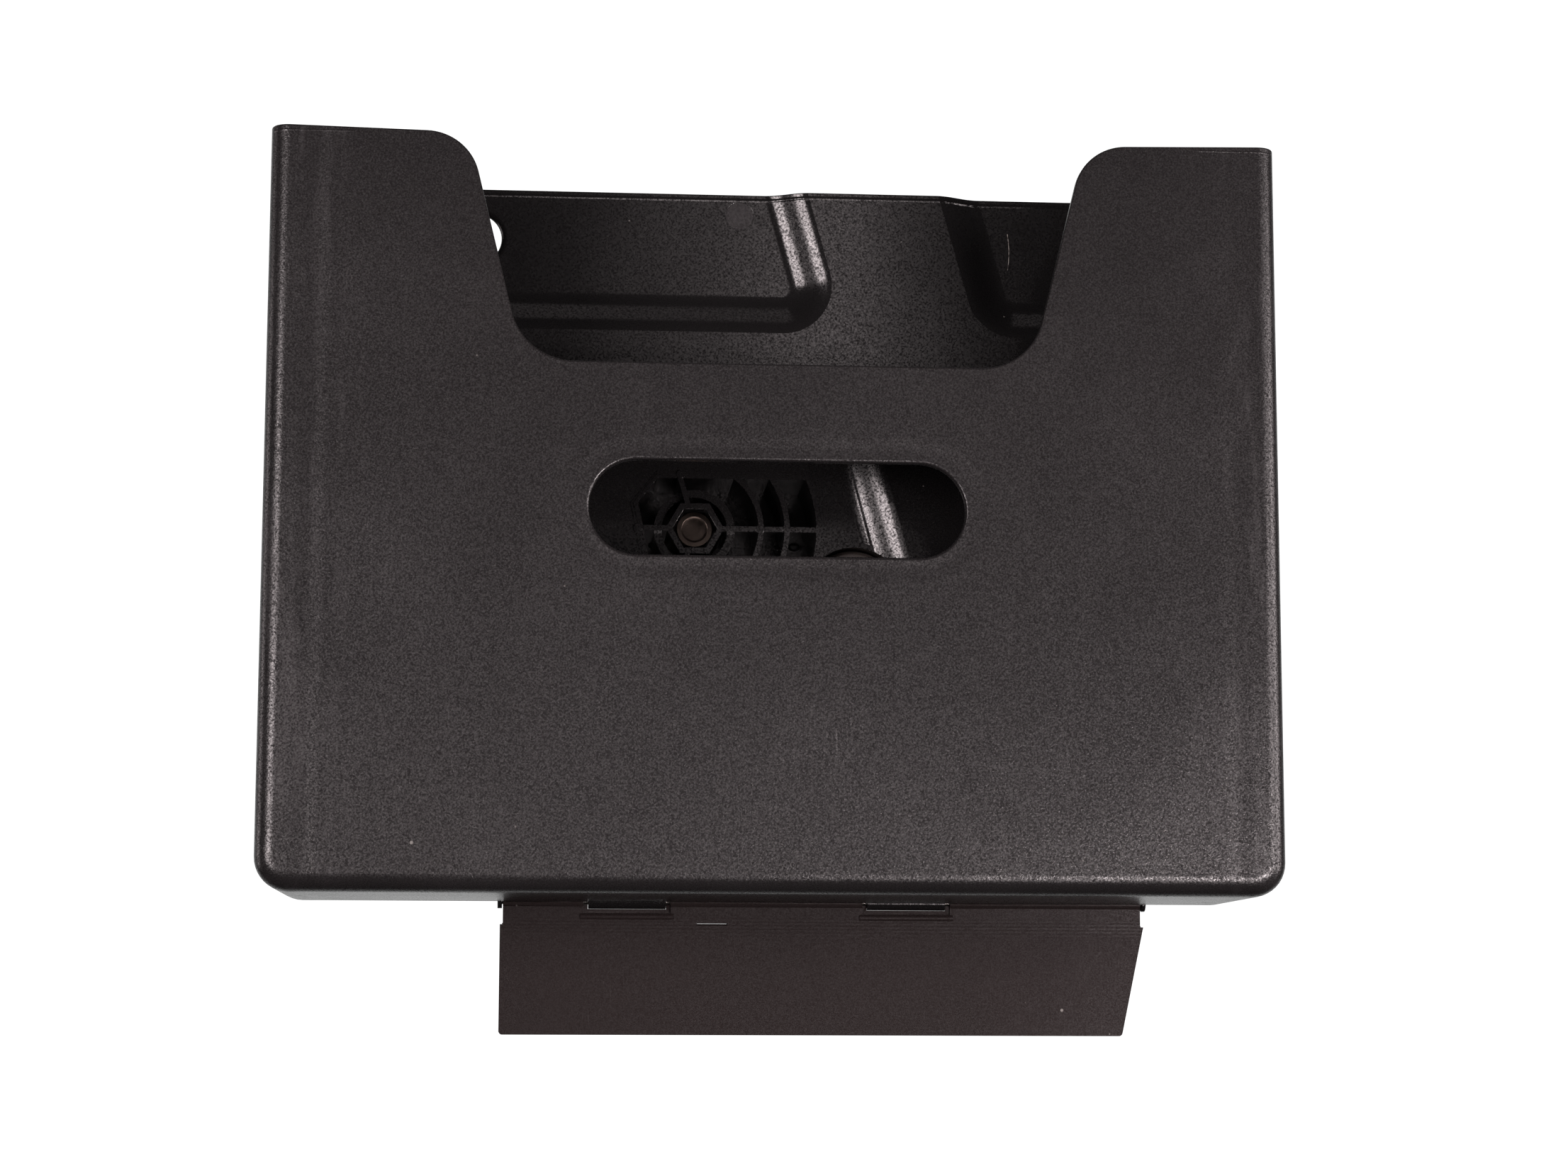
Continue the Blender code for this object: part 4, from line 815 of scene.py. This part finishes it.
def seat_pad(name, floor, mouth, half_length):
    """A rubber liner along the groove's floor and both flanks, with grip ridges across the pole."""
    away = math.copysign(1.0, mouth - floor)
    outer_floor = floor + away * GAP
    inner_floor = outer_floor + away * PAD
    depth = abs(mouth - outer_floor) - 1.0
    mouth_y = outer_floor + away * depth
    outer_half = SEAT_FLOOR_HALF - GAP * 0.75
    inner_half = outer_half - PAD * PAD_CORNER
    outer = [(outer_half + depth, mouth_y), (outer_half, outer_floor)]
    inner = [(inner_half, inner_floor), (inner_half + depth - PAD, mouth_y)]
    profile = [(POLE_X - x, y) for x, y in outer] + [(POLE_X + x, y) for x, y in outer[::-1]]
    profile += [(POLE_X + x, y) for x, y in inner[::-1]] + [(POLE_X - x, y) for x, y in inner]
    steps = []
    half, reach = PAD_GROOVE_HALF, inner_half + PAD_GROOVE_HALF
    for k in range(PAD_GROOVES):
        z = BOLT_Z + PAD_GROOVE_PITCH * (k - PAD_GROOVES // 2)
        groove = box_outline(inner_floor - away * half, z - half, mouth_y + away * OVERRUN, z + half)
        steps.append((CUT, prism_x(groove, POLE_X - reach, POLE_X + reach)))
    return shaped(name, prism_z(profile, BOLT_Z - half_length, BOLT_Z + half_length), steps, 0.25)


def knob_star(factor, sides=120):
    """A star of round lobes, as a smooth radius that rises and falls about the bolt."""
    points = []
    for i in range(sides):
        angle = 2 * math.pi * i / sides
        radius = factor * (KNOB_RADIUS - KNOB_DIP * (1 - math.cos(KNOB_LOBES * angle)) / 2)
        points.append((BOLT_X + radius * math.cos(angle), BOLT_Z + radius * math.sin(angle)))
    return points


def star_knob():
    """The hand knob: a star with well rounded edges, a round hub and a raised ring about the insert."""
    low, high = KNOB_LOW.y + KNOB_HUB, KNOB_HIGH.y
    rise = []
    for a in range(0, 91, 15):
        angle = math.radians(a)
        size = 1 - KNOB_ROUND / KNOB_RADIUS * (1 - math.sin(angle))
        rise.append((size, KNOB_ROUND * (1 - math.cos(angle))))
    levels = [(size, low + y) for size, y in rise] + [(size, high - y) for size, y in reversed(rise)]
    sections = [[(x, y, z) for x, z in knob_star(size)] for size, y in levels]
    hub = [(9.0, KNOB_LOW.y), (9.6, KNOB_LOW.y + 7.0)]
    dish = [(14.2, high + 1.0), (13.4, high - 0.9), (9.4, high - 1.5), (8.6, high - 0.05), (8.4, high + 1.0)]
    bore = rod(BOLT_AXIS, INSERT_RADIUS + GAP, KNOB_LOW.y - OVERRUN, high + OVERRUN, FINE_ROUND)
    steps = [(JOIN, turned(hub, BOLT_AXIS, FINE_ROUND))]
    steps += [(CUT, hoop(dish, BOLT_AXIS, FINE_ROUND)), (CUT, bore)]
    return shaped("knob_skin", loft(sections), steps, 0.3, angle=34.0)


def knob_insert():
    """The brass bush in the knob, with a plain bore."""
    y0, y1 = KNOB_LOW.y, KNOB_LOW.y + INSERT_LENGTH
    bore = rod(BOLT_AXIS, BOLT_RADIUS + GAP, y0 - OVERRUN, y1 + OVERRUN)
    return shaped("insert_skin", rod(BOLT_AXIS, INSERT_RADIUS, y0, y1, FINE_ROUND), [(CUT, bore)], 0.25)


# --------------------------------------------------------------------- materials
class Value:
    """A number from a node's output; arithmetic on it adds Math nodes."""

    def __init__(self, nodes, output):
        self.nodes, self.output = nodes, output

    def __add__(self, other):
        return self.nodes.math("ADD", self, other)

    def __sub__(self, other):
        return self.nodes.math("SUBTRACT", self, other)

    def __rsub__(self, other):
        return self.nodes.math("SUBTRACT", other, self)

    def __mul__(self, other):
        return self.nodes.math("MULTIPLY", self, other)

    def __abs__(self):
        return self.nodes.math("ABSOLUTE", self)


class Nodes:
    """A material's node tree, with short ways to add nodes and links."""

    def __init__(self, name):
        self.material = bpy.data.materials.new(name)
        self.material.use_nodes = True
        self.tree = self.material.node_tree
        self.shader = self.tree.nodes["Principled BSDF"]
        self.place = self.add("ShaderNodeTexCoord").outputs["Object"]

    def add(self, kind, settings=None, **inputs):
        """A node; inputs are named as its sockets, with _ for a space, and take a value or an output."""
        node = self.tree.nodes.new(kind)
        for key, value in (settings or {}).items():
            setattr(node, key, value)
        for key, value in inputs.items():
            self.feed(node.inputs[key.replace("_", " ")], value)
        return node

    def feed(self, socket, value):
        if isinstance(value, Value):
            value = value.output
        if isinstance(value, bpy.types.NodeSocket):
            self.tree.links.new(value, socket)
        else:
            socket.default_value = value

    def surface(self, **inputs):
        """Feeds the shader's own sockets, named with _ for a space."""
        for key, value in inputs.items():
            self.feed(self.shader.inputs[key.replace("_", " ")], value)

    def math(self, operation, a, b=0.0):
        node = self.add("ShaderNodeMath", {"operation": operation})
        self.feed(node.inputs[0], a)
        self.feed(node.inputs[1], b)
        return Value(self, node.outputs[0])

    def vector_math(self, operation, a, b=None):
        node = self.add("ShaderNodeVectorMath", {"operation": operation})
        self.feed(node.inputs[0], a)
        if b is not None:
            self.feed(node.inputs[1], b)
        return node

    def noise(self, scale, detail=2.0, roughness=0.5, vector=None):
        where = self.place if vector is None else vector
        node = self.add("ShaderNodeTexNoise", Vector=where, Scale=scale, Detail=detail, Roughness=roughness)
        return Value(self, node.outputs["Fac"])

    def stretched(self, scale, turn=(0.0, 0.0, 0.0)):
        """The place in the frame, scaled unevenly, for marks that run one way."""
        node = self.add("ShaderNodeMapping", Vector=self.place, Scale=scale, Rotation=turn)
        return node.outputs["Vector"]

    def ramp(self, value, low, high, start=0.0, end=1.0):
        """A value taken from low..high to start..end, clamped."""
        node = self.add(
            "ShaderNodeMapRange", Value=value, From_Min=low, From_Max=high, To_Min=start, To_Max=end,
        )
        return Value(self, node.outputs["Result"])

    def mix(self, share, a, b):
        """Two colours mixed by a share from 0 to 1."""
        return self.add("ShaderNodeMix", {"data_type": "RGBA"}, Factor=share, A=a, B=b).outputs["Result"]

    def bump(self, height, distance, strength=1.0, below=None):
        """A bump of height times distance metres, on top of another bump's normal."""
        node = self.add("ShaderNodeBump", Height=height, Distance=distance, Strength=strength)
        if below is not None:
            self.feed(node.inputs["Normal"], below)
        return node.outputs["Normal"]

    def parts(self):
        """The place in the frame as X, Y and Z, in metres."""
        node = self.add("ShaderNodeSeparateXYZ", Vector=self.place)
        return [Value(self, output) for output in node.outputs]

    def aside(self):
        """How far a point is from the shell's middle plane, in metres."""
        return abs(self.parts()[0] - frame_x(0.0))

    def from_axis(self, x, z):
        """How far a point is from a line along Y, in metres."""
        centred = self.vector_math("SUBTRACT", self.place, (x, 0.0, z))
        flat = self.vector_math("MULTIPLY", centred.outputs[0], (1.0, 0.0, 1.0))
        return Value(self, self.vector_math("LENGTH", flat.outputs[0]).outputs["Value"])


def frame_x(x):
    return (x - ORIGIN.x) * MM


def frame_z(z):
    return (z - ORIGIN.z) * MM


def paint(colour, factor=1.0):
    """A colour for a socket, lightened or darkened by a factor."""
    return (*[min(1.0, c * factor) for c in colour], 1.0)


def specks(n, cells, size, share):
    """1 on small round specks scattered over the surface, in a share of the cells."""
    spots = n.add("ShaderNodeTexVoronoi", Vector=n.place, Scale=cells, Randomness=1.0)
    near = n.ramp(spots.outputs["Distance"], size, size * 0.6)
    picked = n.add("ShaderNodeSeparateColor", Color=spots.outputs["Color"]).outputs[0]
    return near * n.math("LESS_THAN", picked, share)


def scratches(n, turn, fineness, share):
    """1 along thin straight marks that run one way and come and go."""
    lines = n.noise(1.0, 1.0, 0.5, n.stretched((fineness, fineness, 14.0), turn))
    thin = n.ramp(abs(lines - 0.5), 0.004, 0.0)
    return thin * n.ramp(n.noise(22.0), 1.0 - share, 1.02 - share * 0.8)


def band(n, value, centre, half):
    """A soft hill over a value: 1 at the centre, 0 at half either side."""
    hill = n.ramp(abs(value - centre), half, 0.0)
    return hill * (hill * (3.0 - hill * 2.0))


DUST, LINT, SCORE, HAIRLINE = (0.42, 0.40, 0.38), (0.5, 0.48, 0.45), (0.45, 0.42, 0.39), (0.25, 0.24, 0.23)


def moulded(
    name, colour, roughness, grain, depth, speckle,
    sheen=0.5, marks=(), rubbed=None, polished=None, scored=None, dull=None,
):
    """Moulded plastic: spark-eroded grain, uneven gloss, dust, hairlines, rubbed and polished places.

    grain is the grain's scale and depth its height in metres; speckle is how far gloss and sheen vary.
    marks give (height, distance) of shallow marks; the last four give where the surface differs, 0 to 1.
    """
    n = Nodes(name)
    broad = n.noise(26.0, 3.0, 0.6)
    fine = n.noise(grain, 2.0, 0.6)
    coarse = n.noise(grain * 0.4, 2.0, 0.5)
    dust = specks(n, 150.0, 0.05, 0.10)
    lint = specks(n, 45.0, 0.028, 0.30)
    one_way = scratches(n, (0.0, 0.5, 0.3), 420.0, 0.34)
    other_way = scratches(n, (0.4, -0.9, 0.0), 380.0, 0.30)
    hair = n.math("MAXIMUM", one_way, other_way)
    shade = n.mix(broad, paint(colour, 0.88), paint(colour, 1.12))
    shade = n.mix(n.ramp(fine, 0.3, 0.7, 0.0, 0.5), shade, paint(colour, 1.6))
    uneven = 1.5 * speckle * roughness
    pits = n.noise(grain * 0.8, 1.0, 0.5, n.stretched((1.0, 1.0, 1.1), (0.7, 0.2, 0.4)))
    sparkle = n.ramp(pits, 0.32, 0.68, -uneven, uneven)
    gloss = n.ramp(broad, 0.25, 0.75, roughness - 0.02, roughness + 0.02) + sparkle
    if rubbed is not None:
        worn = rubbed(n)
        shade = n.mix(worn * 0.5, shade, paint(colour, 2.4))
        gloss = gloss + worn * 0.10
    keep = 1.0
    if polished is not None:
        smooth = polished(n)
        shade = n.mix(smooth, shade, paint(colour, 3.4))
        gloss = gloss + smooth * 0.12
        keep = 1.0 - smooth
    shade = n.mix(dust * 0.30, shade, paint(DUST))
    shade = n.mix(lint * 0.45, shade, paint(LINT))
    if scored is not None:
        shade = n.mix(scored(n), shade, paint(SCORE))
    normal = n.bump(n.noise(14.0, 1.0), 0.0005)
    for height, distance in [mark(n) for mark in marks]:
        normal = n.bump(height, distance, below=normal)
    normal = n.bump(coarse, depth * 0.5, keep, below=normal)
    normal = n.bump(fine, depth, keep, below=normal)
    normal = n.bump(hair, -0.4 * depth, below=normal)
    glint = n.noise(grain * 0.7, 1.0, 0.5, n.stretched((1.0, 1.0, 1.0), (0.3, 0.8, 0.5)))
    spread = 6.0 * speckle
    shine = n.ramp(glint, 0.3, 0.7, sheen * (1.0 - spread), sheen * (1.0 + spread))
    if dull is not None:
        shine = shine * dull(n)
    shade = n.mix(hair * 0.22, shade, paint(HAIRLINE))
    n.surface(Base_Color=shade, Roughness=gloss + dust * 0.2, Normal=normal, Specular_IOR_Level=shine)
    return n.material


def side_sinks(n):
    """Sink marks down the front face, a little in from both sides, by the screw bosses behind."""
    uneven = n.ramp(n.noise(12.0), 0.3, 0.7, 0.6, 1.0)
    return band(n, n.aside(), (SHELL_WIDTH / 2 - 14.5) * MM, 0.0045) * uneven, -0.00016


def knit_line(n):
    """The faint line below the slot where two streams of plastic met."""
    x, _, z = n.parts()
    wander = x + n.ramp(n.noise(30.0), 0.0, 1.0, -0.0006, 0.0006)
    below = n.ramp(z, frame_z(SLOT_Z - 10.0), frame_z(SLOT_Z - 20.0))
    return band(n, wander, frame_x(0.0), 0.0005) * below, -0.00002


def slot_dish(n):
    """The face sinks a little all round the finger slot."""
    reach = (SLOT_LENGTH - SLOT_HEIGHT) / 2 * MM
    along = n.math("MAXIMUM", n.aside() - reach, 0.0)
    up = n.parts()[2] - frame_z(SLOT_Z)
    away = n.math("SQRT", along * along + up * up)
    return band(n, away, (SLOT_HEIGHT / 2 + 3.5) * MM, 0.0045), -0.00012


def parting_lines(n):
    """Thin flash lines just under the lobes' tops, at their outer ends."""
    outer = n.ramp(n.aside(), 0.126, 0.130)
    return outer * band(n, n.parts()[2], frame_z(SHELL_HEIGHT - 1.9), 0.00035), 0.00005


def rubbed_sides(n):
    """Pale smears down both sides of the front, where it is handled, and faint clouds all over."""
    smear = n.ramp(n.noise(1.0, 3.0, 0.6, n.stretched((170.0, 170.0, 26.0))), 0.50, 0.70)
    clouds = n.ramp(n.noise(11.0, 4.0, 0.65), 0.48, 0.72, 0.0, 0.40)
    return n.math("MAXIMUM", smear * n.ramp(n.aside(), 0.118, 0.147, 0.12, 1.0), clouds)


def rubbed_skirt(n):
    """Faint smears on the skirt."""
    return n.ramp(n.noise(1.0, 3.0, 0.6, n.stretched((60.0, 60.0, 200.0))), 0.56, 0.80, 0.0, 0.25)


def ejector_disc(n):
    """1 on the smooth round ejector mark near the plate's top."""
    away = n.from_axis(frame_x(EJECTOR_MARK[0]), frame_z(EJECTOR_MARK[1]))
    return n.ramp(away, EJECTOR_RADIUS * MM, (EJECTOR_RADIUS - 0.3) * MM)


def cored_pockets(n):
    """1 on the plate's face, falling off inside the block's pockets and on the back, which shine less."""
    start = (PANEL_FRONT + 1.5 - ORIGIN.y) * MM
    return n.ramp(n.parts()[1], start, start + 0.005, 1.0, 0.35)


def top_lip(n):
    """A fine raised line just under the plate's top edge."""
    return band(n, n.parts()[2], frame_z(PLATE_TOP - 1.8), 0.0007), 0.00012


def recess_scratch(n):
    """1 along the one bowed upright scratch on the plate's upper right panel."""
    x, _, z = n.parts()
    up = z - frame_z(SCRATCH_MIDDLE[1])
    across = x - frame_x(SCRATCH_MIDDLE[0]) + up * up * SCRATCH_BOW
    reach = n.math("LESS_THAN", abs(up), SCRATCH_HALF * MM)
    broken = n.ramp(n.noise(900.0, 2.0, 0.6), 0.40, 0.55, 0.15, 1.0)
    return band(n, across, 0.0, 0.00016) * reach * broken


def rib_sinks(n):
    """Faint V marks on the skirt's face, over the truss behind it."""
    x, _, z = n.parts()
    bay = TRUSS_BAY * MM
    along = n.math("PINGPONG", x - frame_x(FLAP_LEFT + TRUSS_SIDE), bay / 2)
    line = (frame_z(TRUSS_HIGH) - z) * (bay / 2 / ((TRUSS_HIGH - TRUSS_LOW) * MM))
    return band(n, along - line, 0.0, 0.0022), -0.000012


def scored_lines(n):
    """Fine level tool lines just under the skirt's barrel."""
    z = n.parts()[2]
    ripple = n.math("SINE", z * (2 * math.pi / 0.0011))
    return ripple * band(n, z, frame_z(-7.5), 0.0045), 0.000012


SHELL_MARKS = (side_sinks, knit_line, slot_dish, parting_lines)
PLATE_MARKS = (top_lip,)
SKIRT_MARKS = (rib_sinks, scored_lines)


def metal(name, colour, roughness, turned_about=None):
    """Plated or turned metal: patches of duller plating, darker grime and, about an axis, turning lines."""
    n = Nodes(name)
    patches = n.noise(160.0, 3.0, 0.6)
    grit = n.noise(2400.0, 2.0, 0.5)
    grime = n.ramp(n.noise(90.0, 4.0, 0.65), 0.52, 0.72, 0.0, 0.55)
    shade = n.mix(patches, paint(colour, 0.82), paint(colour, 1.12))
    dull = n.ramp(patches, 0.3, 0.7, roughness - 0.06, roughness + 0.08) + grime * 0.25
    normal = n.bump(grit, 0.000006)
    if turned_about is not None:
        across = n.add("ShaderNodeCombineXYZ", X=n.from_axis(*turned_about) * 9000.0).outputs[0]
        normal = n.bump(n.noise(1.0, 2.0, 0.6, across), 0.000008, below=normal)
    shade = n.mix(grime, shade, paint(colour, 0.35))
    n.surface(Base_Color=shade, Roughness=dull, Normal=normal, Metallic=1.0)
    return n.material


def rubber(name, colour):
    """Moulded rubber: matt, slightly mottled, with a dusty bloom."""
    n = Nodes(name)
    mottle = n.noise(70.0, 4.0, 0.6)
    fine = n.noise(1800.0, 2.0, 0.5)
    bloom = n.ramp(n.noise(35.0, 3.0, 0.6), 0.5, 0.75, 0.0, 0.35)
    shade = n.mix(mottle, paint(colour, 0.8), paint(colour, 1.15))
    normal = n.bump(fine, 0.00003, below=n.bump(mottle, 0.0001))
    matt = n.ramp(mottle, 0.2, 0.8, 0.72, 0.88)
    n.surface(Base_Color=n.mix(bloom, shade, paint(colour, 1.9)), Roughness=matt, Normal=normal)
    return n.material


# ---------------------------------------------------------- light, floor, camera
WORLD_FRONT, WORLD_REAR = 0.015, 1.0
WORLD_FADE = (0.50, 0.80)   # the bright backdrop starts and is full where directions point this far back
LIGHT_CENTRE = Vector((0.0, -0.07, -0.02))
LIGHT_DISTANCE = 1.33
WARM = (1.0, 0.89, 0.895)
# name, degrees right of the front, degrees up, (width, height) in metres, watts
SOFT_BOXES = (
    ("key_low_right", 22.0, -15.0, (0.22, 0.22), 11.5),
    ("key_right", 36.0, -12.0, (0.25, 0.25), 9.5),
    ("box_left", -36.0, 0.0, (0.53, 0.60), 11.5),
    ("inner_left", -15.0, -3.0, (0.22, 0.40), 0.45),
    ("box_right", 46.0, 2.0, (0.26, 0.60), 3.5),
    ("side_left", -100.0, 0.0, (0.40, 0.80), 2.5),
    ("side_right", 72.0, 0.0, (0.55, 0.80), 9.0),
    ("front_low", 3.0, -5.0, (0.30, 0.16), 0.8),
    ("slot_strip", 5.0, 8.5, (0.06, 0.14), 0.035),
    ("plate_light", 6.2, 17.7, (0.075, 0.20), 0.10),
    ("plate_fill", 3.4, 17.0, (0.15, 0.25), 0.058),
    ("top", 10.0, 75.0, (0.50, 0.40), 0.16),
    ("low_front", 16.0, -26.0, (0.30, 0.30), 2.5),
)
FLOOR_DROP = 0.16   # metres below the part
CAMERA_PLACE = (-71.0, -935.1, -39.3)   # in drawing millimetres
CAMERA_YAW, CAMERA_PITCH, CAMERA_ROLL = 4.45, 7.87, 0.15
LENS, SENSOR = 73.34, 36.0


def stage():
    """A wide pale floor below the object; it doesn't belong to the object."""
    bm = bmesh.new()
    bmesh.ops.create_grid(bm, x_segments=2, y_segments=2, size=12.0)
    mesh = bpy.data.meshes.new("studio_floor")
    bm.to_mesh(mesh)
    bm.free()
    floor = bpy.data.objects.new("studio_floor", mesh)
    bpy.context.scene.collection.objects.link(floor)
    floor.location = (0.0, 0.0, CAD_LOW.z - FLOOR_DROP)
    n = Nodes("studio_white")
    white = n.mix(n.noise(3.0), paint((0.90, 0.90, 0.90)), paint((0.93, 0.93, 0.93)))
    n.surface(Base_Color=white, Roughness=0.8, Emission_Color=(1.0, 1.0, 1.0, 1.0), Emission_Strength=1.0)
    mesh.materials.append(n.material)
    floor.visible_diffuse = False
    floor.visible_glossy = False


def area_light(name, place, size, power):
    """A warm soft box of size (width, height) metres that looks at the object."""
    data = bpy.data.lights.new(name, "AREA")
    data.shape = "RECTANGLE"
    data.size, data.size_y = size
    data.energy = power
    data.color = WARM
    lamp = bpy.data.objects.new(name, data)
    bpy.context.scene.collection.objects.link(lamp)
    lamp.location = place
    lamp.rotation_euler = (LIGHT_CENTRE - place).to_track_quat("-Z", "Y").to_euler()
    lamp.visible_camera = False


def surroundings():
    """A white studio: bright behind the object, dim in front of it, and white wherever the camera looks."""
    world = bpy.data.worlds.new("studio")
    bpy.context.scene.world = world
    world.use_nodes = True
    tree = world.node_tree
    tree.nodes.clear()
    direction = tree.nodes.new("ShaderNodeTexCoord").outputs["Generated"]
    parts = tree.nodes.new("ShaderNodeSeparateXYZ")
    tree.links.new(direction, parts.inputs[0])
    fade = tree.nodes.new("ShaderNodeMapRange")
    tree.links.new(parts.outputs["Y"], fade.inputs["Value"])
    fade.inputs["From Min"].default_value, fade.inputs["From Max"].default_value = WORLD_FADE
    fade.inputs["To Min"].default_value = WORLD_FRONT
    fade.inputs["To Max"].default_value = WORLD_REAR
    lighting = tree.nodes.new("ShaderNodeBackground")
    tree.links.new(fade.outputs[0], lighting.inputs["Strength"])
    seen = tree.nodes.new("ShaderNodeBackground")
    seen.inputs["Color"].default_value = (1.0, 1.0, 1.0, 1.0)
    seen.inputs["Strength"].default_value = 1.1
    rays = tree.nodes.new("ShaderNodeLightPath")
    chosen = tree.nodes.new("ShaderNodeMixShader")
    tree.links.new(rays.outputs["Is Camera Ray"], chosen.inputs[0])
    tree.links.new(lighting.outputs[0], chosen.inputs[1])
    tree.links.new(seen.outputs[0], chosen.inputs[2])
    output = tree.nodes.new("ShaderNodeOutputWorld")
    tree.links.new(chosen.outputs[0], output.inputs["Surface"])


def camera():
    data = bpy.data.cameras.new("camera")
    data.lens = LENS
    data.sensor_width = SENSOR
    data.clip_start, data.clip_end = 0.05, 60.0
    seen = bpy.data.objects.new("camera", data)
    bpy.context.scene.collection.objects.link(seen)
    turn = Matrix.Rotation(math.radians(-CAMERA_YAW), 4, "Z")
    tilt = Matrix.Rotation(math.radians(90.0 + CAMERA_PITCH), 4, "X")
    roll = Matrix.Rotation(math.radians(CAMERA_ROLL), 4, "Z")
    place = Matrix.Translation((Vector(CAMERA_PLACE) - ORIGIN) * MM)
    seen.matrix_world = place @ turn @ tilt @ roll
    bpy.context.scene.camera = seen


def lights():
    """Each soft box by its direction from the object: degrees to the right of the front, and degrees up."""
    for name, right, up, size, power in SOFT_BOXES:
        turn, lift = math.radians(right), math.radians(up)
        toward = Vector((math.sin(turn) * math.cos(lift), -math.cos(turn) * math.cos(lift), math.sin(lift)))
        area_light(name, LIGHT_CENTRE + toward * LIGHT_DISTANCE, size, power)


# ------------------------------------------------------------------------- build
def show(piece, node, body, material):
    """A finished piece stands for a CAD node, moves with its body and has its material."""
    piece.data.materials.clear()
    piece.data.materials.append(material)
    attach(piece, body)
    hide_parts(node)


def build():
    shell_plastic = moulded(
        "shell_plastic", (0.012, 0.0112, 0.0115), 0.28, 2600.0, 0.00005, 0.15,
        sheen=0.43, marks=SHELL_MARKS, rubbed=rubbed_sides,
    )
    plate_plastic = moulded(
        "plate_plastic", (0.008, 0.0076, 0.0078), 0.17, 2300.0, 0.0000015, 0.14,
        sheen=0.48, marks=PLATE_MARKS, polished=ejector_disc, scored=recess_scratch, dull=cored_pockets,
    )
    flap_plastic = moulded(
        "flap_plastic", (0.0165, 0.0128, 0.0125), 0.30, 3000.0, 0.000012, 0.12,
        sheen=0.10, marks=SKIRT_MARKS, rubbed=rubbed_skirt,
    )
    plug_plastic = moulded("plug_plastic", (0.045, 0.038, 0.034), 0.5, 2600.0, 0.00002, 0.04)
    clamp_plastic = moulded("clamp_black", (0.028, 0.028, 0.030), 0.52, 1500.0, 0.00006, 0.05)
    knob_plastic = moulded("knob_black", (0.026, 0.026, 0.028), 0.40, 1800.0, 0.00004, 0.05)
    pad_rubber = rubber("pad_rubber", (0.075, 0.075, 0.08))
    bolt_axis = (frame_x(BOLT_X), frame_z(BOLT_Z))
    zinc = metal("zinc_plate", (0.56, 0.54, 0.50), 0.30)
    # Painted shade: the bolt's zinc is a near-black copy of the zinc above, darkened for the dark
    # surroundings it reflects inside the box.
    zinc_painted_dark = metal("bolt_zinc_painted_dark", (0.10, 0.08, 0.068), 0.14, bolt_axis)
    turned_brass = metal("turned_brass", (0.72, 0.52, 0.24), 0.26, bolt_axis)

    show(front_shell(), "front_shell", "holder", shell_plastic)
    show(back_plate(), "back_plate", "holder", plate_plastic)
    show(blanking_plug(), "blanking_plug", "holder", plug_plastic)
    show(bottom_flap(), "bottom_flap", "skirt", flap_plastic)
    show(clamp_bolt(), "clamp_bolt", "holder", zinc_painted_dark)
    for i, place in enumerate(screw_places()):
        show(shell_screw(i + 1, place), f"shell_screw_{i + 1}", "holder", zinc)
    show(hinge_pin(), "hinge_pin", "holder", zinc)
    show(guide_pin("guide_skin_upper", 1), "guide_pin_upper", "holder", zinc)
    show(guide_pin("guide_skin_lower", -1), "guide_pin_lower", "holder", zinc)
    show(clamp_saddle(), "clamp_saddle", "holder", clamp_plastic)
    show(clamp_jaw(), "clamp_jaw", "jaw", clamp_plastic)
    pad_half = (SADDLE_HIGH.z - SADDLE_LOW.z) / 2 - 1.0
    saddle_pad = seat_pad("saddle_pad_skin", SADDLE_HIGH.y - SEAT_DEPTH, SADDLE_HIGH.y, pad_half)
    show(saddle_pad, "saddle_pad", "holder", pad_rubber)
    jaw_pad = seat_pad("jaw_pad_skin", JAW_FRONT + SEAT_DEPTH, JAW_FRONT, pad_half)
    show(jaw_pad, "jaw_pad", "jaw", pad_rubber)
    show(clamp_washer(), "clamp_washer", "jaw", zinc)
    show(star_knob(), "star_knob", "knob", knob_plastic)
    show(knob_insert(), "knob_insert", "knob", turned_brass)


build()
stage()
surroundings()
lights()
camera()
bpy.context.scene.view_settings.view_transform = "Standard"
